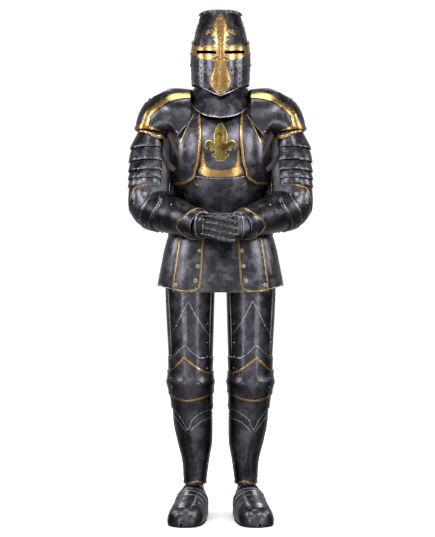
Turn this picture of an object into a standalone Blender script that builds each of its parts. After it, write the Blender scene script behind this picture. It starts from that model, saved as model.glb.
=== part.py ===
"""Suit of plate armour, standing with bent arms and crossed gauntlets.

Metres, +Z up. The front faces -Y and the origin is on the floor under the middle of the suit.
Every plate is an open sheet laid on a limb, which is a run of oval sections, and thickened outwards.
"""

import math

import bpy
import numpy as np
from mathutils import Vector
from mathutils.geometry import delaunay_2d_cdt

# Driving dimensions
WALL = 0.002  # steel plate
BRASS_WALL = 0.0012
LEATHER_WALL = 0.003
GAP = 0.0010  # clearance between a plate and the one laid over it
LAYER = WALL + GAP
SEAM = 0.0005  # clearance where two plates meet edge to edge
FIGURE_Y = 0.088578  # how far the body's middle stands behind the origin
SOLE_THICK = 0.005
FOOT_TURN = math.radians(11)  # how far each toe points outwards

# The helm's levels
HELM_TOP = 1.862
SLIT_HEIGHT = 0.0095
SLIT_ANGLE = 60.0  # half of the sight's reach round the helm, in degrees
FACE_ANGLE = 78.75  # where the face meets the back, on the crown's own facets
COLLAR_TOP = 1.640
COLLAR_RADIUS = 0.078

# The body's levels
NECK_Z = 1.505
WAIST_TOP = 1.118
WAIST_LOW = 1.040
SKIRT_LOW = 0.834
TASSET_TOP = 1.033
TASSET_ANGLES = (16.5, 46.0)
HAND_POWER = 0.8  # squareness of a hand's section

STEEL = ("steel", (0.16, 0.16, 0.17), 0.35, 1.0)
BRASS = ("brass", (0.62, 0.42, 0.14), 0.32, 1.0)
LEATHER = ("leather", (0.22, 0.10, 0.04), 0.7, 0.0)
CLOTH = ("arming_cloth", (0.32, 0.35, 0.37), 0.9, 0.0)
SOLE = ("sole_leather", (0.03, 0.03, 0.03), 0.8, 0.0)

# Columns: height, x, y, half width, front, back, keel of the front
HELM_ROWS = [
    (1.530, 0, 0, 0.0930, 0.118, 0.098, 0.014),
    (1.560, 0, 0, 0.0990, 0.122, 0.104, 0.015),
    (1.615, 0, 0, 0.1035, 0.124, 0.110, 0.015),
    (1.665, 0, 0, 0.1050, 0.124, 0.113, 0.014),
    (1.700, 0, 0, 0.1045, 0.122, 0.113, 0.012),
    (1.743, 0, 0, 0.1010, 0.116, 0.110, 0.009),
    (1.793, 0, 0, 0.0929, 0.105, 0.101, 0.006),
    (1.835, 0, 0, 0.0830, 0.093, 0.091, 0.003),
    (1.862, 0, 0, 0.0758, 0.085, 0.083, 0.001),
]
GORGET_ROWS = [
    (1.445, 0, 0, 0.150, 0.153, 0.135, 0.006),
    (1.480, 0, 0, 0.140, 0.142, 0.130, 0.005),
    (1.520, 0, 0, 0.129, 0.127, 0.123, 0.003),
    (1.555, 0, 0, 0.117, 0.112, 0.114, 0.000),
    (1.575, 0, 0, 0.108, 0.103, 0.106, 0.000),
    (1.590, 0, 0, 0.097, 0.094, 0.096, 0.000),
    (1.600, 0, 0, 0.0860, 0.0850, 0.0860, 0.000),
    (1.606, 0, 0, 0.0800, 0.0800, 0.0800, 0.000),
]
TORSO_ROWS = [
    (1.020, 0, 0, 0.166, 0.128, 0.122, 0.000),
    (1.090, 0, 0, 0.156, 0.122, 0.112, 0.003),
    (1.160, 0, 0, 0.163, 0.130, 0.115, 0.006),
    (1.230, 0, 0, 0.1755, 0.145, 0.122, 0.010),
    (1.300, 0, 0, 0.1775, 0.155, 0.128, 0.012),
    (1.370, 0, 0, 0.177, 0.152, 0.130, 0.010),
    (1.430, 0, 0, 0.169, 0.136, 0.126, 0.006),
    (1.480, 0, 0, 0.152, 0.114, 0.116, 0.003),
    (1.520, 0, 0, 0.125, 0.090, 0.102, 0.000),
    (1.550, 0, 0, 0.098, 0.075, 0.088, 0.000),
]
SKIRT_ROWS = [
    (0.820, 0, 0, 0.238, 0.180, 0.173, 0.000),
    (0.880, 0, 0, 0.229, 0.173, 0.167, 0.000),
    (0.930, 0, 0, 0.219, 0.166, 0.160, 0.000),
    (0.990, 0, 0, 0.207, 0.156, 0.150, 0.000),
    (1.045, 0, 0, 0.190, 0.146, 0.139, 0.000),
    (1.085, 0, 0, 0.1675, 0.130, 0.122, 0.001),
    (1.125, 0, 0, 0.1585, 0.1255, 0.1145, 0.003),
]
UPPER_ARM_ROWS = [
    (1.190, 0.2617, -0.0454, 0.0705, 0.0705, 0.0705, 0),
    (1.236, 0.2617, -0.0454, 0.0705, 0.0705, 0.0705, 0),
    (1.270, 0.2600, -0.0390, 0.0715, 0.0710, 0.0710, 0),
    (1.300, 0.2588, -0.0290, 0.0720, 0.0710, 0.0710, 0),
    (1.360, 0.2560, -0.0120, 0.0710, 0.0710, 0.0710, 0),
    (1.400, 0.2480, -0.0040, 0.0650, 0.0700, 0.0700, 0),
    (1.450, 0.2380, 0.0000, 0.0540, 0.0660, 0.0660, 0),
]
# Columns: place along the sleeve, x, y, height, turn of its outer side from upright in degrees,
# reach outwards, inwards, forwards and backwards
SLEEVE_ROWS = [
    (0.0, 0.140, 0.0000, 1.430, 2.0, 0.0600, 0.0600, 0.0560),
    (0.6, 0.185, 0.0000, 1.435, 22.0, 0.0710, 0.0720, 0.0580),
    (1.2, 0.225, -0.0020, 1.422, 62.0, 0.0680, 0.0720, 0.0610),
    (1.8, 0.2485, -0.0045, 1.395, 90.0, 0.0600, 0.0650, 0.0625),
    (2.4, 0.2560, -0.0130, 1.350, 90.0, 0.0664, 0.0700, 0.0640),
    (3.2, 0.2588, -0.0300, 1.297, 90.0, 0.0670, 0.0710, 0.0640),
    (3.5, 0.2601, -0.0390, 1.268, 90.0, 0.0668, 0.0695, 0.0645),
    (3.8, 0.2617, -0.0454, 1.236, 90.0, 0.0660, 0.0670, 0.0660),
    (4.4, 0.2617, -0.0454, 1.178, 90.0, 0.0655, 0.0655, 0.0655),
]
LEG_ROWS = [
    (0.095, 0.0950, 0.000, 0.0420, 0.050, 0.050, 0.000),
    (0.130, 0.0945, 0.002, 0.0410, 0.048, 0.050, 0.003),
    (0.207, 0.0925, 0.004, 0.0480, 0.051, 0.060, 0.005),
    (0.270, 0.0950, 0.004, 0.0610, 0.060, 0.078, 0.006),
    (0.326, 0.1005, 0.002, 0.0680, 0.067, 0.082, 0.004),
    (0.390, 0.1045, -0.004, 0.0715, 0.071, 0.076, 0.000),
    (0.440, 0.1075, -0.010, 0.0735, 0.077, 0.070, 0.000),
    (0.494, 0.1110, -0.014, 0.0785, 0.085, 0.068, 0.000),
    (0.540, 0.1112, -0.012, 0.0775, 0.080, 0.072, 0.000),
    (0.590, 0.1107, -0.008, 0.0795, 0.078, 0.079, 0.000),
    (0.650, 0.1114, -0.004, 0.0829, 0.082, 0.086, 0.000),
    (0.750, 0.1128, 0.000, 0.0873, 0.089, 0.092, 0.000),
    (0.850, 0.1133, 0.003, 0.0903, 0.093, 0.095, 0.000),
    (0.935, 0.1125, 0.005, 0.0895, 0.094, 0.094, 0.000),
    (0.985, 0.1130, 0.005, 0.0915, 0.092, 0.092, 0.000),
]

# Columns: place along the shoulder, x, y, height, turn of the crest from upright in degrees,
# reach to the crest, reach inwards, reach forwards and backwards
SHOULDER_ROWS = [
    (-1.0, 0.060, 0, 1.480, 0.0, 0.0900, 0.150, 0.108),
    (0.0, 0.1097, 0, 1.470, 0.0, 0.1120, 0.150, 0.114),
    (1.0, 0.170, 0, 1.462, 15.0, 0.1250, 0.150, 0.118),
    (2.0, 0.205, 0, 1.450, 43.0, 0.1110, 0.110, 0.110),
    (3.0, 0.237, 0, 1.424, 84.0, 0.0790, 0.085, 0.094),
]

# Columns: distance from the ankle towards the toe, half width, height above the sole
FOOT_ROWS = [
    (-0.068, 0.0030, 0.086),
    (-0.062, 0.0220, 0.094),
    (-0.048, 0.0320, 0.101),
    (-0.028, 0.0370, 0.109),
    (-0.010, 0.0370, 0.134),
    (0.010, 0.0400, 0.140),
    (0.030, 0.0450, 0.123),
    (0.050, 0.0560, 0.107),
    (0.080, 0.0615, 0.100),
    (0.110, 0.0635, 0.088),
    (0.150, 0.0645, 0.077),
    (0.190, 0.0590, 0.065),
    (0.214, 0.0450, 0.050),
    (0.227, 0.0210, 0.026),
    (0.231, 0.0040, 0.008),
]

# The elbow's bend, for the arm at +X
ELBOW_PIVOT = np.array((0.2143, -0.0976, 1.200))
FOREARM_WAY = np.array((-0.6516, -0.7172, -0.2516))
# Columns: distance from the elbow along the forearm, radius
FOREARM_ROWS = [
    (0.020, 0.0705),
    (0.070, 0.0670),
    (0.130, 0.0605),
    (0.190, 0.0530),
    (0.250, 0.0470),
]
CUFF_TURN = 17.0  # where the cuff's point lies round the forearm, in degrees
# Columns: turn of the elbow's section in degrees, radius
ELBOW_ROWS = [(-30.0, 0.0705), (0.0, 0.0710), (25.0, 0.0760), (50.0, 0.0765), (73.0, 0.0725)]

# Columns: x, y, z of a hand's middle, half height, half thickness; the hand underneath and the one on top
UNDER_HAND_ROWS = [
    (0.0745, -0.2515, 1.0710, 0.0441, 0.0441),
    (0.0480, -0.2790, 1.0680, 0.041, 0.019),
    (0.0240, -0.2920, 1.0630, 0.043, 0.0135),
    (-0.0020, -0.2920, 1.0570, 0.043, 0.0120),
    (-0.0140, -0.2885, 1.0530, 0.041, 0.0105),
]
TOP_HAND_ROWS = [
    (0.0745, -0.2515, 1.0710, 0.0441, 0.0441),
    (0.0530, -0.2920, 1.0680, 0.041, 0.019),
    (0.0300, -0.3210, 1.0630, 0.044, 0.0140),
    (0.0000, -0.3330, 1.0550, 0.045, 0.0125),
    (-0.0310, -0.3300, 1.0470, 0.044, 0.0115),
    (-0.0520, -0.3180, 1.0420, 0.042, 0.0100),
]

# Outlines of one half, as columns: distance from the middle, height above the foot of the design
HELM_LILY = [
    (0.000, 0.000), (0.010, 0.001), (0.010, 0.012), (0.019, 0.014), (0.019, 0.021), (0.011, 0.023),
    (0.013, 0.034), (0.023, 0.030), (0.027, 0.036), (0.021, 0.038), (0.025, 0.044), (0.034, 0.041),
    (0.038, 0.031), (0.045, 0.047), (0.036, 0.060), (0.022, 0.059), (0.012, 0.046), (0.017, 0.062),
    (0.018, 0.080), (0.010, 0.098), (0.000, 0.118),
]
BREAST_LILY = [
    (0.000, 0.000), (0.015, 0.004), (0.013, 0.018), (0.026, 0.020), (0.026, 0.029), (0.013, 0.032),
    (0.016, 0.048), (0.029, 0.040), (0.036, 0.048), (0.028, 0.052), (0.032, 0.061), (0.043, 0.058),
    (0.047, 0.045), (0.056, 0.066), (0.045, 0.084), (0.028, 0.083), (0.015, 0.067), (0.021, 0.088),
    (0.021, 0.112), (0.012, 0.136), (0.000, 0.160),
]


def start_scene():
    for existing in list(bpy.data.objects):
        bpy.data.objects.remove(existing)
    collection = bpy.data.collections.new("plate_armour")
    bpy.context.scene.collection.children.link(collection)
    return collection


COLLECTION = start_scene()


def unit(vector):
    return vector / np.linalg.norm(vector, axis=-1, keepdims=True)


class Limb:
    """A run of oval sections. Angle 0 is its front, 90 its outer side, 180 its back."""

    def __init__(self, keys, centres, outers, fronts, reaches, keels=None, power=1.0):
        keels = np.zeros(len(keys)) if keels is None else np.array(keels)
        self.keys = np.array(keys, float)
        self.power = power
        self.table = np.column_stack([centres, outers, fronts, reaches, keels])
        self.slopes = np.gradient(self.table, self.keys, axis=0)

    def section(self, t):
        """Every column of the table at t, on a smooth curve through its rows."""
        t = np.clip(t, self.keys[0], self.keys[-1])
        i = np.clip(np.searchsorted(self.keys, t, side="right") - 1, 0, len(self.keys) - 2)
        step = (self.keys[i + 1] - self.keys[i])[..., None]
        s = (t - self.keys[i])[..., None] / step
        return (
            self.table[i] * (2 * s**3 - 3 * s**2 + 1)
            + self.table[i + 1] * (3 * s**2 - 2 * s**3)
            + self.slopes[i] * step * (s**3 - 2 * s**2 + s)
            + self.slopes[i + 1] * step * (s**3 - s**2)
        )

    def bare(self, angle, t):
        """(points on the limb, centres of their sections)."""
        row = self.section(t)
        centre, outer, front = row[..., 0:3], unit(row[..., 3:6]), unit(row[..., 6:9])
        sine, cosine = np.sin(np.radians(angle)), np.cos(np.radians(angle))
        across = np.sign(sine) * np.abs(sine) ** self.power
        along = np.sign(cosine) * np.abs(cosine) ** self.power
        across = across * np.where(sine >= 0, row[..., 9], row[..., 10])
        along = along * np.where(cosine >= 0, row[..., 11], row[..., 12])
        along = along + np.where(cosine > 0, row[..., 13] * (1 - np.abs(sine)) ** 2, 0)
        return centre + outer * across[..., None] + front * along[..., None], centre

    def points(self, angle, t, offset):
        """Points that far outside the limb."""
        turn, step = 0.5, (self.keys[-1] - self.keys[0]) * 1e-4
        angle, t, offset = np.broadcast_arrays(*(np.asarray(x, float) for x in (angle, t, offset)))
        here, centre = self.bare(angle, t)
        round_it = self.bare(angle + turn, t)[0] - self.bare(angle - turn, t)[0]
        t_in = np.clip(t, self.keys[0] + step, self.keys[-1] - step)
        along_it = self.bare(angle, t_in + step)[0] - self.bare(angle, t_in - step)[0]
        normal = unit(np.cross(round_it, along_it))
        inwards = np.sum(normal * (here - centre), axis=-1, keepdims=True) < 0
        return here + np.where(inwards, -normal, normal) * offset[..., None]


def upright_limb(rows, power=1.0):
    """A limb whose sections are level, from rows of height, x, y, half width, front, back and keel."""
    rows = np.array(rows, float)
    count = len(rows)
    return Limb(
        rows[:, 0],
        rows[:, [1, 2, 0]],
        np.tile((1.0, 0.0, 0.0), (count, 1)),
        np.tile((0.0, -1.0, 0.0), (count, 1)),
        rows[:, [3, 3, 4, 5]],
        rows[:, 6],
        power,
    )


def turning_limb(rows):
    """A limb that turns from level at the neck to upright along the arm."""
    rows = np.array(rows)
    lean = np.radians(rows[:, 4])
    return Limb(
        rows[:, 0],
        rows[:, 1:4],
        np.column_stack([np.sin(lean), 0 * lean, np.cos(lean)]),
        np.tile((0.0, -1.0, 0.0), (len(rows), 1)),
        rows[:, [5, 6, 7, 7]],
    )


def forearm_limb():
    """The elbow's fan of sections round its pivot, then the forearm. The key is the distance along it."""
    way = unit(FOREARM_WAY)
    down = np.array((0.0, 0.0, -1.0))
    outwards = -unit(way - down * np.dot(way, down))
    axis = np.cross(down, outwards)
    keys, centres, outers, reaches = [], [], [], []
    for turn, radius in ELBOW_ROWS:
        angle = math.radians(turn)
        outer = outwards * math.cos(angle) + down * math.sin(angle)
        if turn < 0:
            outer = outwards
        centre = ELBOW_PIVOT + outer * radius
        if turn < 0:
            centre = centre - down * radius * abs(angle)
        keys.append(angle * ELBOW_ROWS[1][1])
        centres.append(centre)
        outers.append(outer)
        reaches.append(radius)
    bend_end = centres[-1]
    last_key = keys[-1]
    for distance, radius in FOREARM_ROWS:
        keys.append(last_key + distance)
        centres.append(bend_end + way * distance)
        outers.append(outers[len(ELBOW_ROWS) - 1])
        reaches.append(radius)
    reaches = np.array(reaches)
    limb = Limb(
        keys,
        centres,
        outers,
        np.tile(axis, (len(keys), 1)),
        np.column_stack([reaches] * 4),
    )
    return limb, last_key


def foot_limb():
    """The instep and toe, whose sections stand upright across the foot. Angle 0 is the top."""
    rows = np.array(FOOT_ROWS)
    ankle = np.array((LEG_ROWS[0][1], 0.0, SOLE_THICK + SEAM))
    toeward = np.array((math.sin(FOOT_TURN), -math.cos(FOOT_TURN), 0.0))
    sideways = np.array((math.cos(FOOT_TURN), math.sin(FOOT_TURN), 0.0))
    return Limb(
        rows[:, 0],
        ankle + rows[:, [0]] * toeward,
        np.tile(sideways, (len(rows), 1)),
        np.tile((0.0, 0.0, 1.0), (len(rows), 1)),
        rows[:, [1, 1, 2, 2]],
        power=0.86,
    )


def hand_limb(rows):
    """A gauntlet's hand, swept from the wrist round the fingers. Angle 0 is its back, 90 its top."""
    rows = np.array(rows)
    middles = rows[:, :3]
    ways = unit(np.gradient(middles, axis=0))
    upright = np.array((0.0, 0.0, 1.0))
    tops = unit(upright - ways * (ways @ upright)[:, None])
    backs = unit(np.cross(ways, tops))
    return Limb(
        np.arange(len(rows)),
        middles,
        tops,
        backs,
        rows[:, [3, 3, 4, 4]],
        power=HAND_POWER,
    )


HELM = upright_limb(HELM_ROWS)
GORGET = upright_limb(GORGET_ROWS)
TORSO = upright_limb(TORSO_ROWS, power=0.92)
SKIRT = upright_limb(SKIRT_ROWS, power=0.95)
UPPER_ARM = upright_limb(UPPER_ARM_ROWS)
LEG = upright_limb(LEG_ROWS)
SHOULDER = turning_limb(SHOULDER_ROWS)
SLEEVE = turning_limb(SLEEVE_ROWS)
FOREARM, BEND_END = forearm_limb()


def material_for(look):
    name, colour, roughness, metallic = look
    material = bpy.data.materials.get(name)
    if material is None:
        material = bpy.data.materials.new(name)
        material.use_nodes = True
        shader = material.node_tree.nodes["Principled BSDF"]
        shader.inputs["Base Color"].default_value = (*colour, 1.0)
        shader.inputs["Roughness"].default_value = roughness
        shader.inputs["Metallic"].default_value = metallic
    return material


def shell_object(name, points, faces, outwards, look, wall, side):
    """An open sheet, thickened towards the outwards directions that its points are given."""
    turn = np.array((side, 1.0, 1.0))
    points = points * turn + np.array((0.0, FIGURE_Y, 0.0))
    mesh = bpy.data.meshes.new(name)
    mesh.from_pydata([tuple(p) for p in points], [], faces)
    facing = sum(
        float(np.dot(face.normal, (outwards[list(face.vertices)] * turn).sum(axis=0))) * face.area
        for face in mesh.polygons
    )
    if facing < 0:
        mesh.flip_normals()
    mesh.shade_smooth()
    mesh.set_sharp_from_angle(angle=math.radians(50))
    mesh.materials.append(material_for(look))
    shell = bpy.data.objects.new(name, mesh)
    COLLECTION.objects.link(shell)
    thicken = shell.modifiers.new("wall", "SOLIDIFY")
    thicken.thickness = wall
    thicken.offset = 1.0
    thicken.use_even_offset = True
    return shell


def grid_faces(rows, columns, ring):
    faces = []
    for r in range(rows - 1):
        for c in range(columns if ring else columns - 1):
            after = (c + 1) % columns
            faces.append((r * columns + c, r * columns + after, (r + 1) * columns + after, (r + 1) * columns + c))
    return faces


def grid_object(name, points, outwards, look, wall, ring, side=1, tip=False):
    """A shell from rows of points, each row a ring or a strip."""
    rows, columns = points.shape[:2]
    faces = grid_faces(rows, columns, ring)
    if tip:
        faces.append(tuple((rows - 1) * columns + c for c in range(columns)))
    return shell_object(name, points.reshape(-1, 3), faces, outwards.reshape(-1, 3), look, wall, side)


def as_function(value):
    return value if callable(value) else lambda other: np.full_like(other, float(value))


def plate(name, limb, angles, span, offset=0.0, columns=12, rows=4, look=STEEL, wall=WALL, side=1):
    """A plate between two angles and two places along a limb.

    Either the angles or the places may be functions of the other, so that the edges can slant and point.
    The offset is one number, or a function of the share of the way along the plate. The rows and columns
    are counts, or the shares at which they lie.
    """
    first, last = angles
    low, high = span
    shares = np.linspace(0, 1, rows + 1)[:, None] if np.isscalar(rows) else np.array(rows)[:, None]
    ring = not callable(first) and last - first == 360
    if np.isscalar(columns):
        columns = np.linspace(0, 1, columns if ring else columns + 1, endpoint=not ring)
    across = np.array(columns)[None, :]
    if callable(first) or callable(last):
        t = low + (high - low) * shares + 0 * across
        begin, end = as_function(first)(t), as_function(last)(t)
        angle = begin + (end - begin) * across
    else:
        angle = first + (last - first) * across + 0 * shares
        begin, end = as_function(low)(angle), as_function(high)(angle)
        t = begin + (end - begin) * shares
    lift = offset(shares + 0 * across) if callable(offset) else offset
    points = limb.points(angle, t, lift)
    return grid_object(name, points, limb.points(angle, t, lift + 0.001) - points, look, wall, ring, side)


def inlay(name, surface, outline, grain, offset, look=BRASS, wall=BRASS_WALL, side=1, holes=()):
    """A flat design with this outline, laid on a surface. The grain is the largest step in each of its two measures."""
    grain = np.array(grain)
    loops = [refined(np.array(loop, float) / grain) for loop in (outline, *holes)]
    shape = loops[0]
    xs, ys = (np.arange(np.ceil(low), high) for low, high in zip(shape.min(axis=0), shape.max(axis=0)))
    edges = np.concatenate(loops)
    inside = [
        (x, y)
        for x in xs
        for y in ys
        if within(loops, x, y) and np.hypot(edges[:, 0] - x, edges[:, 1] - y).min() > 0.45
    ]
    flat = [Vector(p) for p in (*edges, *inside)]
    starts = np.cumsum([0] + [len(loop) for loop in loops])
    borders = [
        (start + i, start + (i + 1) % len(loop)) for start, loop in zip(starts, loops) for i in range(len(loop))
    ]
    placed, _, triangles, *_ = delaunay_2d_cdt(flat, borders, [], 0, 1e-6)
    placed = np.array([tuple(p) for p in placed])
    faces = [tuple(f) for f in triangles if within(loops, *placed[list(f)].mean(axis=0))]
    used = sorted({i for face in faces for i in face})
    number = {old: new for new, old in enumerate(used)}
    faces = [tuple(number[i] for i in face) for face in faces]
    u, v = placed[used].T * grain[:, None]
    points = surface(u, v, offset)
    return shell_object(name, points, faces, surface(u, v, offset + 0.001) - points, look, wall, side)


def refined(loop):
    """The loop with each side cut into steps of about 1."""
    found = []
    for start, end in zip(loop, np.roll(loop, -1, axis=0)):
        steps = max(1, math.ceil(np.hypot(*(end - start)) - 0.25))
        found += [start + (end - start) * i / steps for i in range(steps)]
    return np.array(found)


def within(loops, x, y):
    """Whether a point lies inside an odd number of the loops."""
    crossings = 0
    for loop in loops:
        after = np.roll(loop, -1, axis=0)
        spans = (loop[:, 1] > y) != (after[:, 1] > y)
        rise = np.where(after[:, 1] == loop[:, 1], 1.0, after[:, 1] - loop[:, 1])
        crossings += int(np.sum(spans & (x < loop[:, 0] + (after[:, 0] - loop[:, 0]) * (y - loop[:, 1]) / rise)))
    return crossings % 2 == 1


def mirrored(half):
    """The whole outline from its half, which starts and ends on the middle line."""
    return half + [(-x, y) for x, y in half[-2:0:-1]]


def bent(xs, ys):
    """A function that runs through these points in straight lines."""
    return lambda value: np.interp(value, xs, ys)


def even(xs, ys):
    """The same, for angles on both sides of the front."""
    return lambda angle: np.interp(np.abs((angle + 180) % 360 - 180), xs, ys)


def stepped(edges, rises):
    """(shares, offset) of overlapping lames: the offset climbs along each lame by its rise and then drops."""
    shares, lifts = [], []
    for start, end, rise in zip(edges[:-1], edges[1:], rises):
        shares += [start + (0.02 if start else 0.0), end]
        lifts += [0.0, rise]
    return shares, lambda share: np.interp(share, shares, lifts)


def sight_top(angle):
    """The upper edge of the helm's sight, which falls towards the nose."""
    return 1.7005 + 0.016 * np.minimum(1, np.abs(angle) / SLIT_ANGLE)


def build_helm():
    crown_low = even((0, SLIT_ANGLE, SLIT_ANGLE + 2, 180), (1.7005, 1.7165, 1.688, 1.688))
    plate("helm_crown", HELM, (0, 360), (crown_low, HELM_TOP), 0, columns=32, rows=(0, 0.3, 0.65, 1))
    face_low = even((0, 10, 40, 62, 76), (1.541, 1.549, 1.577, 1.594, 1.600))
    face_high = even(
        (0, SLIT_ANGLE, SLIT_ANGLE + 2, FACE_ANGLE),
        (1.7005 - SLIT_HEIGHT, 1.7165 - SLIT_HEIGHT, 1.724, 1.724),
    )
    plate("helm_face", HELM, (-FACE_ANGLE, FACE_ANGLE), (face_low, face_high), LAYER, columns=14, rows=4)
    seam = math.degrees(SEAM / 0.105)
    plate("helm_back", HELM, (FACE_ANGLE + seam, 360 - FACE_ANGLE - seam), (1.600, 1.724), LAYER, columns=18, rows=3)
    build_brow()
    half_angle = bent((1.545, 1.565, 1.590, 1.612, 1.640, 1.6732), (2.0, 14.0, 19.5, 17.5, 12.0, 13.5))
    plate(
        "helm_nasal", HELM, (lambda t: -half_angle(t), half_angle), (1.545, 1.6732), 2 * LAYER,
        columns=6, rows=5, look=BRASS, wall=BRASS_WALL,
    )
    inlay(
        "helm_ornament", lambda x, z, lift: HELM.points(np.degrees(x / 0.082), 1.7275 + 1.02 * z, lift),
        mirrored(HELM_LILY), (0.016, 0.016), LAYER,
    )
    build_helm_top()
    build_liner()


def build_brow():
    """The brass bar round the sights, with the two sights cut through it."""
    edge = ((0, 1.7260), (40, 1.7290), (62, 1.7360), (76, 1.7640), (90, 1.7640))
    base = ((90, 1.6640), (76, 1.6640), (60, 1.6880), (45, 1.6810), (20, 1.6745), (0, 1.6740))
    outline = [*edge, *base] + [(-a, z) for a, z in base[-2::-1]] + [(-a, z) for a, z in edge[:0:-1]]
    sights = []
    for side in (-1, 1):
        angles = np.array((7.5, 25.0, 42.0, SLIT_ANGLE))
        top = sight_top(angles)
        low = [(side * a, z - SLIT_HEIGHT) for a, z in zip(angles, top)]
        sights.append(low + [(side * a, z) for a, z in zip(angles[::-1], top[::-1])])
    inlay("helm_brow", HELM.points, outline, (11.0, 0.024), 2 * LAYER, holes=sights)


def build_helm_top():
    """The crown's lid, whose edge turns down over the crown."""
    angles = np.linspace(0, 360, 32, endpoint=False)
    low = HELM.points(angles, HELM_TOP - 0.010, LAYER)
    rim = HELM.points(angles, HELM_TOP, LAYER) + np.array((0, 0, GAP))
    middle = np.array((0.0, 0.0, HELM_TOP + GAP))
    rings = [low, rim]
    for share, rise in ((0.45, 0.0045),):
        ring = middle + (rim - middle) * share
        ring[:, 2] = middle[2] + rise
        rings.append(ring)
    points = np.stack(rings)
    grid_object("helm_top", points, points - np.array((0, 0, 1.80)), STEEL, WALL, True, tip=True)


def build_liner():
    """The leather band inside the helm, which sits on the gorget's collar and lets the helm turn."""
    angles = np.linspace(0, 360, 32, endpoint=False)
    height = COLLAR_TOP + SEAM
    outer = HELM.points(angles, height, LAYER - SEAM)
    turns = np.radians(angles)
    inner = np.stack([np.sin(turns), -np.cos(turns), 0 * turns], axis=1) * (COLLAR_RADIUS - 0.006)
    inner[:, 2] = height
    outer[:, 2] = height
    points = np.stack([outer, inner])
    grid_object("helm_liner", points, np.zeros_like(points) + (0, 0, 1), LEATHER, LEATHER_WALL, True)


def build_gorget():
    collar = [(COLLAR_TOP, COLLAR_RADIUS), (1.612, COLLAR_RADIUS), (1.590, 0.0830), (1.570, 0.0900)]
    angles = np.radians(np.linspace(0, 360, 24, endpoint=False))
    ways = np.stack([np.sin(angles), -np.cos(angles), 0 * angles], axis=1)
    points = np.stack([ways * radius + (0, 0, height) for height, radius in collar])
    grid_object("gorget_collar", points, np.stack([ways] * 4), STEEL, WALL, True)
    low = even((0, 20, 45, 70, 92), (1.458, 1.468, 1.502, 1.545, 1.560))
    plate("gorget_front", GORGET, (-90 + 0.15, 90 - 0.15), (low, 1.606), LAYER, columns=16, rows=4)
    low = bent((90, 130, 180, 230, 270), (1.560, 1.548, 1.535, 1.548, 1.560))
    plate("gorget_back", GORGET, (90 + 0.15, 270 - 0.15), (low, 1.606), LAYER, columns=16, rows=3)


def build_torso():
    plate("plackart", TORSO, (-92, 92), (1.086, 1.300), 0, columns=20, rows=3)
    breast_high = even((0, 34, 40, 54.5, 70, 90), (NECK_Z, NECK_Z, 1.482, 1.382, 1.325, 1.300))
    breast_low = even((0, 24, 40, 90), (1.240, 1.248, 1.262, 1.262))
    plate("breastplate", TORSO, (-89.85, 89.85), (breast_low, breast_high), LAYER, columns=20, rows=5)
    high = bent(
        (90, 110, 125, 140, 180, 220, 235, 250, 270), (1.300, 1.330, 1.400, 1.515, 1.548, 1.515, 1.400, 1.330, 1.300)
    )
    plate("backplate", TORSO, (92.3, 267.7), (WAIST_TOP + 0.004, high), 0, columns=18, rows=5)
    inner = bent((1.226, 1.2327, 1.2758, 1.3405, 1.4135, 1.488), (46, 38.5, 26.7, 21.6, 21.4, 27))
    outer = bent((1.226, 1.300, 1.325, 1.382, 1.488), (83, 83, 67, 53.0, 36.5))
    band = [
        (0, 1.246), (14, 1.250), (23, 1.262), (24, 1.272), (20, 1.292), (19.4, 1.340), (16.8, 1.340), (16.4, 1.292),
        (8, 1.274), (0, 1.270),
    ]
    for side, label in ((-1, "right"), (1, "left")):
        plate("pectoral_" + label, TORSO, (inner, outer), (1.226, 1.488), 2 * LAYER + 0.0019, columns=9, rows=7, side=side)
        plate(
            "side_strap_" + label, TORSO, (82, 99), (1.205, 1.222), LAYER - 0.0004, columns=3, rows=1,
            look=LEATHER, wall=WALL, side=side,
        )
    inlay("breast_band", TORSO.points, mirrored(band), (5.0, 0.016), 2 * LAYER)
    inlay(
        "breast_ornament", lambda x, z, lift: TORSO.points(np.degrees(x / 0.190), 1.302 + 0.9 * z, lift),
        mirrored(BREAST_LILY), (0.020, 0.020), 2 * LAYER,
    )


def build_skirt():
    plate("fauld", SKIRT, (0, 360), (WAIST_LOW, WAIST_TOP), LAYER + 0.0011, columns=28, rows=3)
    plate("skirt_front", SKIRT, (-25, 25), (SKIRT_LOW - 0.002, 1.052), 0, columns=6, rows=3)
    plate("skirt_back", SKIRT, (118, 242), (0.846, 1.052), 0, columns=12, rows=3)
    seam = math.degrees(SEAM / 0.19)
    side_low = bent((25, 46, 75, 118), (0.842, 0.842, 0.858, 0.850))
    for side, label in ((-1, "right"), (1, "left")):
        plate("skirt_side_" + label, SKIRT, (25 + seam, 118 - seam), (side_low, 1.052), 0, columns=9, rows=3, side=side)
        low = bent((16.5, 20, 25, 46), (0.862, 0.842, SKIRT_LOW, SKIRT_LOW + 0.004))
        plate("tasset_" + label, SKIRT, TASSET_ANGLES, (low, TASSET_TOP), LAYER, columns=6, rows=3, side=side)


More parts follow.
